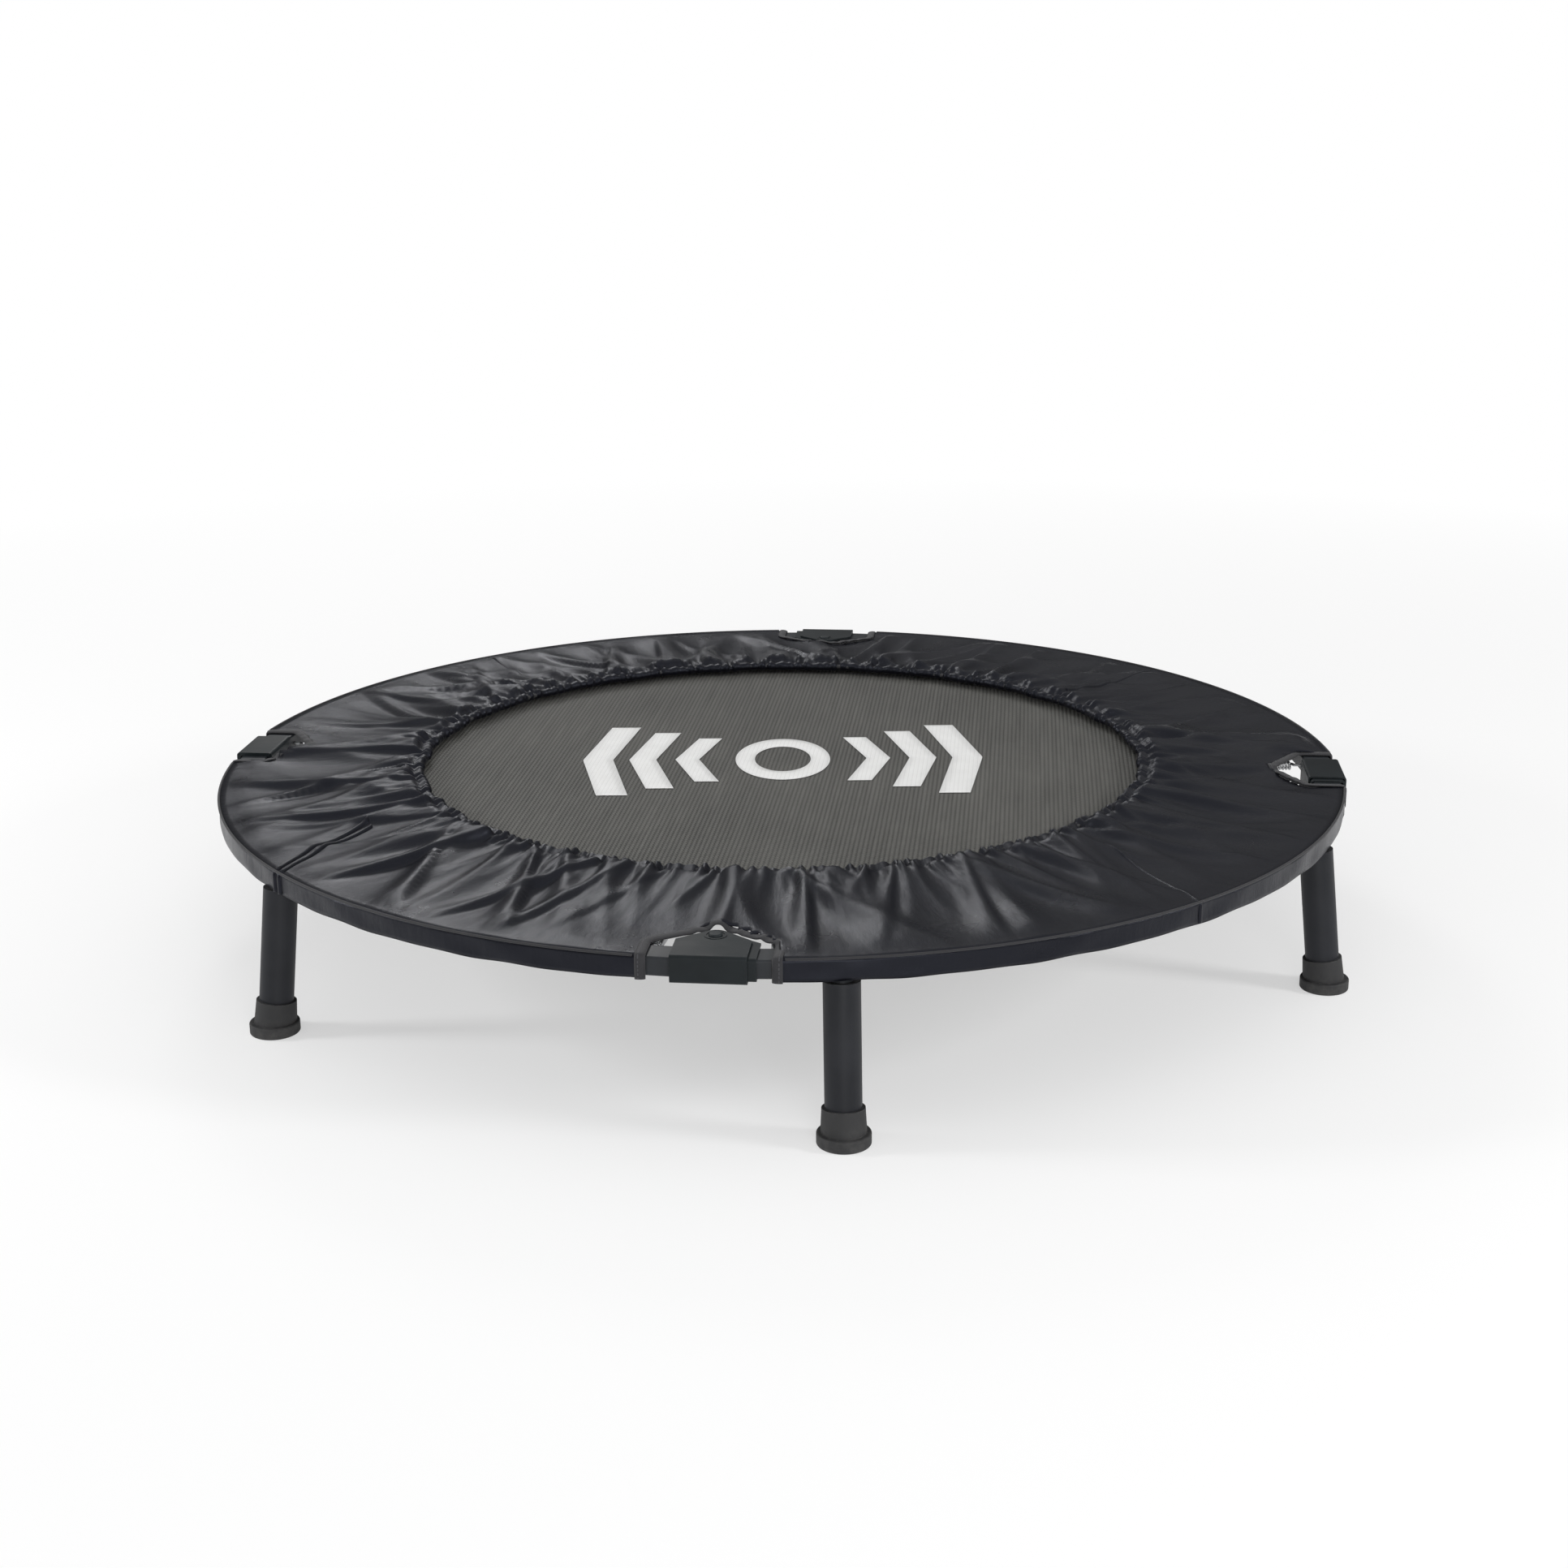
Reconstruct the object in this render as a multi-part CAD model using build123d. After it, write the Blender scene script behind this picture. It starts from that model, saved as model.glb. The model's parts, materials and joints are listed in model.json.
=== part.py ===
"""Folding mini trampoline: a hinged ring of rectangular tube on six splayed legs.

Millimetres, +Z up.  The origin is on the floor under the middle of the mat.  Azimuths are in
degrees from the front (-Y), counterclockwise seen from above, so the right side (+X) is at 90.
The ring comes apart into four quarter arcs.  The left and right hinges fold the front half
under the rear half; the front and rear hinges fold the halved ring once more.
"""
from build123d import *
from math import asin, cos, degrees, radians, sin, tan
import os

os.makedirs("parts", exist_ok=True)

LEAST_RADIUS = 0.3  # of any rounded inner corner

# Frame ring of rectangular tube
RING_RADIUS = 493.5  # to the middle of the tube
TUBE_WIDTH = 25.0  # across, along the ring's radius
TUBE_HEIGHT = 15.0
TUBE_WALL = 1.5
TUBE_CORNER = 2.0
FRAME_UNDERSIDE = 128.0  # height of the tube's underside above the floor
ARC_END_GAP = 0.6  # from a hinge's middle plane to the end of each arc

# Hinges: an inner U bracket nested in an outer one, and a rivet through both
SHEET = 1.5
NEST_GAP = 0.3  # between the inner and the outer bracket
CURVE_ROOM = 1.0  # room beside the tube for its curve inside a straight bracket
BRACKET_WIDTH = 56.5
BRACKET_STRIP = 6.5  # how far the inner bracket shows beyond the outer one
BRACKET_SHOULDER = 35.0  # depth of the plates' straight sides
RIVET_DEPTH = 44.0  # from the web's outer face to the rivet
TIP_RADIUS = 11.0
BEND_RADIUS = 3.0
RIVET_DIAMETER = 8.0
RIVET_HEAD = 10.5
RIVET_HEAD_HEIGHT = 1.8
RIVET_HEAD_ROUND = 0.8  # share of the head's height that its edge is rounded by
RIVET_PLAY = 0.05  # radial, in the inner bracket
EMBOSS_DIAMETER = 17.0
EMBOSS_HEIGHT = 0.4
EMBOSS_WIDTH = 1.5  # of the raised ring

# Legs, screwed onto studs under the ring
LEG_AZIMUTHS = {
    "front": 11.0,
    "front_right": 71.0,
    "rear_right": 131.0,
    "rear": 191.0,
    "rear_left": 251.0,
    "front_left": 311.0,
}
LEG_SPLAY = 6.5  # degrees outward from upright
LEG_OFFSET = 2.0  # of the leg's axis outside the ring's middle, at the tube's underside
LEG_DIAMETER = 28.0
LEG_WALL = 1.5
BOSS_DIAMETER = 19.0
BOSS_DROP = 5.0  # along the leg, from the tube's underside to the boss's seat
STUD_DIAMETER = 10.0
STUD_LENGTH = 26.0
STUD_PLAY = 0.05  # radial, in the leg's plug
SEAT_GAP = 0.3  # between the boss and the top of a leg that is screwed home
PLUG_LENGTH = 32.0

# Rubber boots
BOOT_BASE_DIAMETER = 41.0
BOOT_BASE_HEIGHT = 9.7
BOOT_HEIGHT = 27.5
BOOT_COLLAR_DIAMETER = 35.0  # at the bottom of the collar
BOOT_MOUTH_DIAMETER = 32.6  # at the top of the collar
BOOT_SOLE = 5.0  # rubber under the leg's end
BOOT_EDGE = 1.5
LEG_END_GAP = 0.1  # between the leg's end and the rubber under it

# Jumping mat, its hem, and the springs that hold it
MAT_RADIUS = 400.0
MAT_DROP = 3.0  # from the frame's top down to the mat's
MAT_THICKNESS = 1.2
HEM_WIDTH = 26.0
HEM_THICKNESS = 2.4
SPRINGS_PER_QUARTER = 8
SPRING_DIAMETER = 10.0
SPRING_WIRE = 2.6
SPRING_RISE = 6.5  # from the tube's underside up to the springs' axes
HOOK_LENGTH = 10.0  # straight wire at each end of a coil
HOLE_PLAY = 0.6  # radial, round a hook in the tube's wall
LINK_WIRE = 3.0
LINK_WIDTH = 26.0  # of the triangular link's base, inside the hem
LINK_BACK = 10.0  # from the mat's edge in to the middle of the link's base
LINK_REACH = 15.0  # from the mat's edge out to the link's point

# Cover: a gathered panel and a rim band, with an elastic in its inner hem
COVER_THICKNESS = 1.4
COVER_PLAY = 0.3  # between the cover and the frame
COVER_TUCK = 7.0  # of hem under the tube
COVER_INNER_RADIUS = 328.0
ELASTIC_DIAMETER = 4.0
ELASTIC_RISE = 5.0  # from the frame's top up to the elastic's middle
CHANNEL_WALL = 1.0
CHANNEL_PLAY = 0.1
OPENING_HALF_WIDTH = 48.0  # of the cut-out at a hinge, at the rim
OPENING_CLEAR = 4.0  # from the bracket's shoulder out to the cut-out's widest part
OPENING_CROWN = 16.5  # radius of the cut-out's rounded end
BOSS_CLEAR = 1.0  # of the tucked hem round each leg's boss
FOLD_GAP = 0.5  # from the fold line to each half's edge of mat and cover

FRAME_TOP = FRAME_UNDERSIDE + TUBE_HEIGHT
RING_INSIDE = RING_RADIUS - TUBE_WIDTH / 2
RING_OUTSIDE = RING_RADIUS + TUBE_WIDTH / 2
NEST_STEP = SHEET + NEST_GAP
WEB_STACK = SHEET + NEST_STEP  # both webs, from the tube to the outer face
COVER_RADIUS = RING_OUTSIDE + COVER_PLAY + COVER_THICKNESS
COVER_TOP = FRAME_TOP + COVER_PLAY + COVER_THICKNESS
MAT_TOP = FRAME_TOP - MAT_DROP
SPRING_HEIGHT = FRAME_UNDERSIDE + SPRING_RISE
ELASTIC_HEIGHT = FRAME_TOP + ELASTIC_RISE
HALVES = {"front": -90.0, "rear": 90.0}  # azimuth where each half starts
SPRING_PITCH = 90.0 / SPRINGS_PER_QUARTER


def save(shape, name):
    """Write one named piece."""
    shape.label = name
    export_step(shape, f"parts/{name}.step")


def turned(section, start, end):
    """A section in the radius-height plane, turned about the ring's axis between two azimuths."""
    solid = revolve(Plane.XZ * section, Axis.Z, end - start)
    return Rot(0, 0, start - 90) * solid


def gap_angle(gap, radius):
    """The angle that a straight gap takes up at a radius."""
    return degrees(asin(gap / radius))


def at(azimuth):
    """Turns a shape made at the front to an azimuth."""
    return Rot(0, 0, azimuth)


def spring_azimuths(start, sweep):
    """The azimuths of the springs between two hinges, half a pitch clear of each hinge."""
    count = round(sweep / SPRING_PITCH)
    return [start + SPRING_PITCH * (number + 0.5) for number in range(count)]


# --- frame ----------------------------------------------------------------------------------

def frame_arc(start):
    """One quarter of the ring, with a hole in its inner wall for each spring's hook."""
    outside = RectangleRounded(TUBE_WIDTH, TUBE_HEIGHT, TUBE_CORNER)
    bore_corner = max(TUBE_CORNER - TUBE_WALL, LEAST_RADIUS)
    bore = RectangleRounded(TUBE_WIDTH - 2 * TUBE_WALL, TUBE_HEIGHT - 2 * TUBE_WALL, bore_corner)
    section = Pos(RING_RADIUS, FRAME_UNDERSIDE + TUBE_HEIGHT / 2) * (outside - bore)
    inset = gap_angle(ARC_END_GAP, RING_RADIUS)
    arc = turned(section, start + inset, start + 90 - inset)
    hole = Rot(90, 0, 0) * Cylinder(SPRING_WIRE / 2 + HOLE_PLAY, 4 * TUBE_WALL)
    for azimuth in spring_azimuths(start, 90):
        arc -= at(azimuth) * Pos(0, -RING_INSIDE, SPRING_HEIGHT) * hole
    return arc


# --- hinges ---------------------------------------------------------------------------------
# A hinge is made with its webs on top, at z = 0, and its rivet along Y below them.

def channel(span, top, wall, start, end):
    """A U of folded sheet along X: its web's outer face at height top, span across outside."""
    depth = RIVET_DEPTH + TIP_RADIUS
    outer = Pos(0, -depth) * Rectangle(span, 2 * depth)
    bend = min(BEND_RADIUS, span / 4)
    outer = fillet(outer.vertices().group_by(Axis.Y)[-1], bend)
    inner = Pos(0, -depth - wall) * Rectangle(span - 2 * wall, 2 * depth)
    inner = fillet(inner.vertices().group_by(Axis.Y)[-1], max(bend - wall, LEAST_RADIUS))
    body = extrude(Plane.YZ * (outer - inner), end - start)
    return Pos(start, 0, top) * body


def plates(outline, span):
    """A plate outline in the XZ plane, made wide enough to cut both flanges to shape."""
    return extrude(Plane.XZ * outline, span, both=True)


def rivet_line(radius, length):
    """A rod of the given radius along the rivet's axis."""
    return Pos(0, 0, -RIVET_DEPTH) * Rot(90, 0, 0) * Cylinder(radius, length)


def house(left, right, top):
    """A plate with straight sides from left to right and a rounded tip about the rivet."""
    height = BRACKET_SHOULDER + top
    block = Pos((left + right) / 2, top - height / 2) * Rectangle(right - left, height)
    tip = Pos(0, -RIVET_DEPTH) * Circle(TIP_RADIUS)
    return make_hull(block.edges() + tip.edges())


def outer_bracket(side, span):
    """The outer bracket.  On its own arc's side it is doubled up to meet the tube."""
    half = BRACKET_WIDTH / 2
    shape = channel(span, 0, SHEET, -half, half) & plates(house(-half, half, 0), span)
    own = sorted((side * ARC_END_GAP, side * half))
    doubler = channel(span - 2 * SHEET, -SHEET, NEST_STEP, own[0], own[1])
    depth = RIVET_DEPTH + TIP_RADIUS
    below = Pos(0, 0, -WEB_STACK - TUBE_HEIGHT - depth)
    doubler -= below * Box(2 * BRACKET_WIDTH, 2 * span, 2 * depth)
    shape += doubler
    ring = Circle(EMBOSS_DIAMETER / 2) - Circle(EMBOSS_DIAMETER / 2 - EMBOSS_WIDTH)
    for face in (-1, 1):
        plane = Plane((0, face * span / 2, -RIVET_DEPTH), x_dir=(1, 0, 0), z_dir=(0, face, 0))
        shape += extrude(plane * ring, EMBOSS_HEIGHT)
    return shape - rivet_line(RIVET_DIAMETER / 2, 2 * span)


def inner_bracket(side, span):
    """The inner bracket, on the other arc's side, with both its plates round the rivet."""
    inside = span - 2 * NEST_STEP
    own = sorted((-side * ARC_END_GAP, -side * (BRACKET_WIDTH / 2 + BRACKET_STRIP)))
    web = channel(inside, -NEST_STEP, SHEET, own[0], own[1])
    reach = max(abs(own[0]), abs(own[1])) + TIP_RADIUS
    flanges = channel(inside, -NEST_STEP, SHEET, -reach, reach)
    flanges -= Pos(0, 0, -WEB_STACK + reach) * Box(4 * reach, 2 * span, 2 * reach)
    shape = (web + flanges) & plates(house(own[0], own[1], -NEST_STEP), span)
    # beyond the hinge's middle the plates stay below the other arc and its doubler
    room = WEB_STACK + TUBE_HEIGHT + NEST_GAP
    corner = Box(2 * reach, 2 * span, 2 * room)
    shape -= Pos(side * (reach - ARC_END_GAP), 0, 0) * corner
    return shape - rivet_line(RIVET_DIAMETER / 2 + RIVET_PLAY, 2 * span)


def rivet(span):
    """A rivet through both brackets, with a domed head on each outer plate."""
    shape = rivet_line(RIVET_DIAMETER / 2, span)
    head = Cylinder(RIVET_HEAD / 2, RIVET_HEAD_HEIGHT)
    head = fillet(head.edges().group_by(Axis.Z)[-1], RIVET_HEAD_ROUND * RIVET_HEAD_HEIGHT)
    out = (span + RIVET_HEAD_HEIGHT) / 2
    for face in (-1, 1):
        shape += Pos(0, face * out, -RIVET_DEPTH) * Rot(-face * 90, 0, 0) * head
    return shape


HINGE_TOP = FRAME_TOP + WEB_STACK
FOLD_SPAN = TUBE_WIDTH + 2 * (CURVE_ROOM + WEB_STACK)
LEVEL_SPAN = TUBE_HEIGHT + 2 * WEB_STACK
FOLD_HINGE = Pos(0, -RING_RADIUS + CURVE_ROOM / 2, HINGE_TOP)
LEVEL_HINGE = Pos(0, -RING_OUTSIDE - WEB_STACK, FRAME_UNDERSIDE + TUBE_HEIGHT / 2) * Rot(90, 0, 0)

# name: azimuth, which side the outer bracket's arc is on, span across, place at the front
HINGES = {
    "front": (0.0, -1, LEVEL_SPAN, LEVEL_HINGE),
    "right": (90.0, 1, FOLD_SPAN, FOLD_HINGE),
    "rear": (180.0, -1, LEVEL_SPAN, LEVEL_HINGE),
    "left": (270.0, 1, FOLD_SPAN, FOLD_HINGE),
}

# --- legs -----------------------------------------------------------------------------------
LEG_TOP_RADIUS = RING_RADIUS + LEG_OFFSET
LEG_PLACE = Pos(0, -LEG_TOP_RADIUS, FRAME_UNDERSIDE) * Rot(-LEG_SPLAY, 0, 0)
FOOT_RADIUS = LEG_TOP_RADIUS + FRAME_UNDERSIDE * tan(radians(LEG_SPLAY))
LEG_START = BOSS_DROP + SEAT_GAP
LEG_RISE = LEG_DIAMETER / 2 * sin(radians(LEG_SPLAY))  # of the low side of the leg's end
LEG_STOP = (FRAME_UNDERSIDE - BOOT_SOLE - LEG_RISE) / cos(radians(LEG_SPLAY))


def rod(radius, start, end):
    """A round rod down the leg's own axis, between two distances below the tube."""
    return Pos(0, 0, -(start + end) / 2) * Cylinder(radius, end - start)


def leg_stud():
    """The boss welded under the tube, cut to its slant, with the stud that a leg screws onto."""
    slant = BOSS_DIAMETER * tan(radians(LEG_SPLAY))
    boss = LEG_PLACE * rod(BOSS_DIAMETER / 2, -slant, BOSS_DROP)
    room = 4 * BOSS_DIAMETER
    boss -= Pos(0, -LEG_TOP_RADIUS, FRAME_UNDERSIDE + room / 2) * Box(room, room, room)
    return boss + LEG_PLACE * rod(STUD_DIAMETER / 2, BOSS_DROP, BOSS_DROP + STUD_LENGTH)


def leg_tube():
    """The leg: a round tube from the boss down into its boot."""
    outside = rod(LEG_DIAMETER / 2, LEG_START, LEG_STOP)
    return LEG_PLACE * (outside - rod(LEG_DIAMETER / 2 - LEG_WALL, 0, 2 * LEG_STOP))


def leg_plug():
    """The threaded plug pressed into the leg's top."""
    body = rod(LEG_DIAMETER / 2 - LEG_WALL, LEG_START, LEG_START + PLUG_LENGTH)
    return LEG_PLACE * (body - rod(STUD_DIAMETER / 2 + STUD_PLAY, 0, 2 * PLUG_LENGTH))


def leg_boot():
    """The rubber boot: a flat round base on the floor and a tapered collar up the leg."""
    base = Pos(0, 0, BOOT_BASE_HEIGHT / 2) * Cylinder(BOOT_BASE_DIAMETER / 2, BOOT_BASE_HEIGHT)
    base = fillet(base.edges().filter_by(GeomType.CIRCLE), BOOT_EDGE)
    base = Pos(0, -FOOT_RADIUS, 0) * base
    top = (FRAME_UNDERSIDE - BOOT_HEIGHT) / cos(radians(LEG_SPLAY))
    foot = FRAME_UNDERSIDE / cos(radians(LEG_SPLAY)) - BOOT_BASE_HEIGHT / 2
    collar = Cone(BOOT_COLLAR_DIAMETER / 2, BOOT_MOUTH_DIAMETER / 2, foot - top)
    collar = LEG_PLACE * Pos(0, 0, -(foot + top) / 2) * collar
    bore = LEG_PLACE * rod(LEG_DIAMETER / 2, 0, LEG_STOP + LEG_END_GAP)
    return base + collar - bore


# --- mat and springs ------------------------------------------------------------------------
MAT_EDGE = MAT_TOP - MAT_THICKNESS
COIL_START = MAT_RADIUS + LINK_REACH + LINK_WIRE / 2
COIL_END = RING_INSIDE - HOOK_LENGTH


def half_disc(radius, low, high, start):
    """Half a round sheet, on one side of the fold line."""
    middle = (high + low) / 2
    disc = Pos(0, 0, middle) * Cylinder(radius, high - low)
    keep = Pos(0, -radius - FOLD_GAP, middle) * Box(4 * radius, 2 * radius, 4 * (high - low))
    return disc & (at(start + 90) * keep)


def fold_cut(shape, start):
    """A shape turned through a half circle, trimmed back from the fold line."""
    far = 4 * COVER_RADIUS
    keep = Pos(0, -far / 2 - FOLD_GAP, 0) * Box(far, far, far)
    return shape & (at(start + 90) * keep)


def mat_hem(start):
    """The webbing sewn under the mat's edge, with a pocket for each link's base."""
    depth = Pos(MAT_RADIUS - HEM_WIDTH / 2, MAT_EDGE - HEM_THICKNESS / 2)
    band = turned(depth * Rectangle(HEM_WIDTH, HEM_THICKNESS), start, start + 180)
    return fold_cut(band, start)


def mat_link(azimuth):
    """A triangular wire link, whose base is held by the hem and whose point holds a spring."""
    half = LINK_WIDTH / 2
    inner = -MAT_RADIUS + LINK_BACK
    point = -MAT_RADIUS - LINK_REACH
    middle = Polygon((-half, inner), (half, inner), (0, point), align=None)
    outside = offset(middle, LINK_WIRE / 2)
    inside = offset(middle, -LINK_WIRE / 2)
    height = MAT_EDGE - HEM_THICKNESS - LINK_WIRE
    return at(azimuth) * Pos(0, 0, height) * extrude(outside - inside, LINK_WIRE)


def spring(azimuth):
    """A coil between its two hooks: one over a link's point, one in the tube's wall."""
    coil = Cylinder(SPRING_DIAMETER / 2, COIL_END - COIL_START)
    coil -= Cylinder(SPRING_DIAMETER / 2 - SPRING_WIRE, COIL_END - COIL_START)
    coil = Pos(0, 0, (COIL_START + COIL_END) / 2) * coil
    outer_hook = Pos(0, 0, COIL_END + HOOK_LENGTH / 2)
    outer_hook *= Cylinder(SPRING_WIRE / 2, HOOK_LENGTH + 2 * TUBE_WALL)
    plate = Cylinder(SPRING_DIAMETER / 2, SPRING_WIRE)
    ends = Pos(0, 0, COIL_START + SPRING_WIRE / 2) * plate
    ends += Pos(0, 0, COIL_END - SPRING_WIRE / 2) * plate
    return at(azimuth) * Pos(0, 0, SPRING_HEIGHT) * Rot(90, 0, 0) * (coil + ends + outer_hook)


# --- cover ----------------------------------------------------------------------------------
CHANNEL_RADIUS = ELASTIC_DIAMETER / 2 + CHANNEL_PLAY + CHANNEL_WALL
ELASTIC_RADIUS = COVER_INNER_RADIUS + CHANNEL_RADIUS


def hinge_opening():
    """The cut-out that clears one hinge, as a solid through the cover at the front."""
    rivet_radius = RING_OUTSIDE + WEB_STACK - RIVET_DEPTH
    shoulder = RING_OUTSIDE + WEB_STACK - BRACKET_SHOULDER + OPENING_CLEAR
    far = COVER_RADIUS + OPENING_CROWN
    sides = Pos(0, -(shoulder + far) / 2) * Rectangle(2 * OPENING_HALF_WIDTH, far - shoulder)
    crown = Pos(0, -rivet_radius) * Circle(OPENING_CROWN)
    outline = make_hull(sides.edges() + crown.edges())
    return Pos(0, 0, FRAME_UNDERSIDE) * extrude(outline, 4 * TUBE_HEIGHT, both=True)


def cut_openings(cover, start):
    """A half of the cover with its hinge cut-outs, each half sharing those on the fold line."""
    opening = hinge_opening()
    for azimuth in (start, start + 90, start + 180):
        cover -= at(azimuth) * opening
    return cover


def cover_panel(start):
    """Half of the cover's top panel, with the channel for the elastic along its inner edge."""
    low = COVER_TOP - COVER_THICKNESS
    section = Polygon(
        (RING_OUTSIDE + COVER_PLAY, COVER_TOP),
        (RING_INSIDE, COVER_TOP),
        (ELASTIC_RADIUS, ELASTIC_HEIGHT + COVER_THICKNESS / 2),
        (ELASTIC_RADIUS, ELASTIC_HEIGHT - COVER_THICKNESS / 2),
        (RING_INSIDE, low),
        (RING_OUTSIDE + COVER_PLAY, low),
        align=None,
    )
    middle = Pos(ELASTIC_RADIUS, ELASTIC_HEIGHT)
    section += middle * Circle(CHANNEL_RADIUS)
    section -= middle * Circle(ELASTIC_DIAMETER / 2 + CHANNEL_PLAY)
    return cut_openings(fold_cut(turned(section, start, start + 180), start), start)


def cover_band(start):
    """Half of the band sewn to the panel's rim, whose hem is tucked in under the tube."""
    low = FRAME_UNDERSIDE - COVER_PLAY - COVER_THICKNESS
    rim = RING_OUTSIDE + COVER_PLAY
    section = Polygon(
        (COVER_RADIUS, low),
        (COVER_RADIUS, COVER_TOP),
        (rim, COVER_TOP),
        (rim, low + COVER_THICKNESS),
        (rim - COVER_TUCK, low + COVER_THICKNESS),
        (rim - COVER_TUCK, low),
        align=None,
    )
    band = cut_openings(fold_cut(turned(section, start, start + 180), start), start)
    boss_room = LEG_PLACE * rod(BOSS_DIAMETER / 2 + BOSS_CLEAR, -BOSS_DIAMETER / 2, BOSS_DIAMETER / 2)
    for azimuth in LEG_AZIMUTHS.values():
        if 0 < (azimuth - start) % 360 < 180:
            band -= at(azimuth) * boss_room
    return band


def elastic_half(start):
    """Half of the elastic cord in the cover's inner hem."""
    section = Pos(ELASTIC_RADIUS, ELASTIC_HEIGHT) * Circle(ELASTIC_DIAMETER / 2)
    return fold_cut(turned(section, start, start + 180), start)


# --- the whole trampoline -------------------------------------------------------------------
ARCS = {"front_right": 0.0, "rear_right": 90.0, "rear_left": 180.0, "front_left": 270.0}
for name, start in ARCS.items():
    save(frame_arc(start), f"frame_arc_{name}")

for name, (azimuth, side, span, place) in HINGES.items():
    save(at(azimuth) * place * outer_bracket(side, span), f"hinge_{name}_outer_bracket")
    save(at(azimuth) * place * inner_bracket(side, span), f"hinge_{name}_inner_bracket")
    save(at(azimuth) * place * rivet(span), f"hinge_{name}_rivet")

for name, azimuth in LEG_AZIMUTHS.items():
    save(at(azimuth) * leg_tube(), f"leg_{name}_tube")
    save(at(azimuth) * leg_plug(), f"leg_{name}_plug")
    save(at(azimuth) * leg_boot(), f"leg_{name}_boot")

for name, start in HALVES.items():
    inside = [azimuth for azimuth in LEG_AZIMUTHS.values() if 0 < (azimuth - start) % 360 < 180]
    spots = spring_azimuths(start, 180)
    save(Compound([at(azimuth) * leg_stud() for azimuth in inside]), f"leg_studs_{name}")
    save(half_disc(MAT_RADIUS, MAT_EDGE, MAT_TOP, start), f"mat_{name}")
    save(mat_hem(start), f"mat_hem_{name}")
    save(Compound([mat_link(azimuth) for azimuth in spots]), f"mat_links_{name}")
    save(Compound([spring(azimuth) for azimuth in spots]), f"springs_{name}")
    save(cover_panel(start), f"cover_panel_{name}")
    save(cover_band(start), f"cover_band_{name}")
    save(elastic_half(start), f"cover_elastic_{name}")
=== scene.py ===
import bmesh
import bpy
import json
import numpy as np
from mathutils import Matrix, Vector
from mathutils.bvhtree import BVHTree


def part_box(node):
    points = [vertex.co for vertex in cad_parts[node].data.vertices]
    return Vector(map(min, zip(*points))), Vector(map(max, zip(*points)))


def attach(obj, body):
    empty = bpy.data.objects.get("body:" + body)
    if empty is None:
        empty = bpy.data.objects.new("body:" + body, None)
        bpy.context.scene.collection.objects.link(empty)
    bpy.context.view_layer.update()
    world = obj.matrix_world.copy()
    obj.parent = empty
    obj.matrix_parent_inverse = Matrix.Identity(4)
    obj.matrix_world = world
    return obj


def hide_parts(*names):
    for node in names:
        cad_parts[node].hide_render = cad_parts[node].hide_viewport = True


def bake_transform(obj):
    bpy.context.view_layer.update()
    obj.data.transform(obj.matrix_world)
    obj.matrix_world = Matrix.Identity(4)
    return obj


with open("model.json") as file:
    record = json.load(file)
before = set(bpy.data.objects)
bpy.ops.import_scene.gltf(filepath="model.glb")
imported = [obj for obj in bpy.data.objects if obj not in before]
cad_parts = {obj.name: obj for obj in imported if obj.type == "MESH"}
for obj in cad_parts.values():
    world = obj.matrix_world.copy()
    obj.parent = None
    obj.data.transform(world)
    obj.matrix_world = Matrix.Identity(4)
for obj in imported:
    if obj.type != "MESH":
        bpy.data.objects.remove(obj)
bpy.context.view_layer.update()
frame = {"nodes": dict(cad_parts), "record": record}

# ---------------------------------------------------------------------------------------------
# Sizes, in metres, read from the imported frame
# ---------------------------------------------------------------------------------------------
COVER_NODES = [name for name in frame["nodes"] if name.startswith(("cover_panel", "cover_band"))]
COVER_LOW = min(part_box(name)[0][2] for name in COVER_NODES)
_, ARC_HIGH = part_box("frame_arc_front_right")
MAT_LOW, MAT_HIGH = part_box("mat_front")
HEM_LOW, HEM_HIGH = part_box("mat_hem_front")
LINK_LOW, LINK_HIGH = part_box("mat_links_front")
SPRING_LOW, SPRING_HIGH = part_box("springs_front")
ELASTIC_LOW, ELASTIC_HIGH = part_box("cover_elastic_front")
RIVET_LOW, RIVET_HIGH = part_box("hinge_front_rivet")
STRIP_LOW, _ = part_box("hinge_front_inner_bracket")

MAT_RADIUS = MAT_HIGH[0]
MAT_TOP = MAT_HIGH[2]
MAT_THICKNESS = MAT_HIGH[2] - MAT_LOW[2]
FRAME_OUTSIDE = ARC_HIGH[0]
FRAME_TOP = ARC_HIGH[2]
ELASTIC_THICKNESS = ELASTIC_HIGH[2] - ELASTIC_LOW[2]
ELASTIC_RADIUS = ELASTIC_HIGH[0] - ELASTIC_THICKNESS / 2
ELASTIC_HEIGHT = (ELASTIC_HIGH[2] + ELASTIC_LOW[2]) / 2
CLOTH = 0.0006  # thickness of the cover's nylon
COVER_RADIUS = FRAME_OUTSIDE + 0.0018
COVER_TOP = FRAME_TOP + 0.0014
MAP_RADIUS = 0.45  # radius at which the cloth's map is true along its length
COVER_BOTTOM = COVER_LOW + CLOTH
TUCK = 0.007  # of the cover's hem under the tube
CASING = 0.0042  # radius of the cover's hem round its elastic
RIVET_RADIUS = -(RIVET_LOW[1] + RIVET_HIGH[1]) / 2
OPENING_HALF = 0.047  # half the width of a cut-out, at the rim
OPENING_SHOULDER = -STRIP_LOW[1] - 0.031  # radius where a cut-out starts to narrow
OPENING_CROWN = 0.0155  # radius of a cut-out's rounded end
HINGES = (0.0, 90.0, 180.0, 270.0)  # azimuths, from the front, counterclockwise
SPRINGS_PER_HALF = 16
ARC_HOLE = FRAME_OUTSIDE - 0.025  # radius of the tube's inner wall
LINK_POINT = MAT_RADIUS + 0.015
LINK_WIRE = 0.0030
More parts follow.
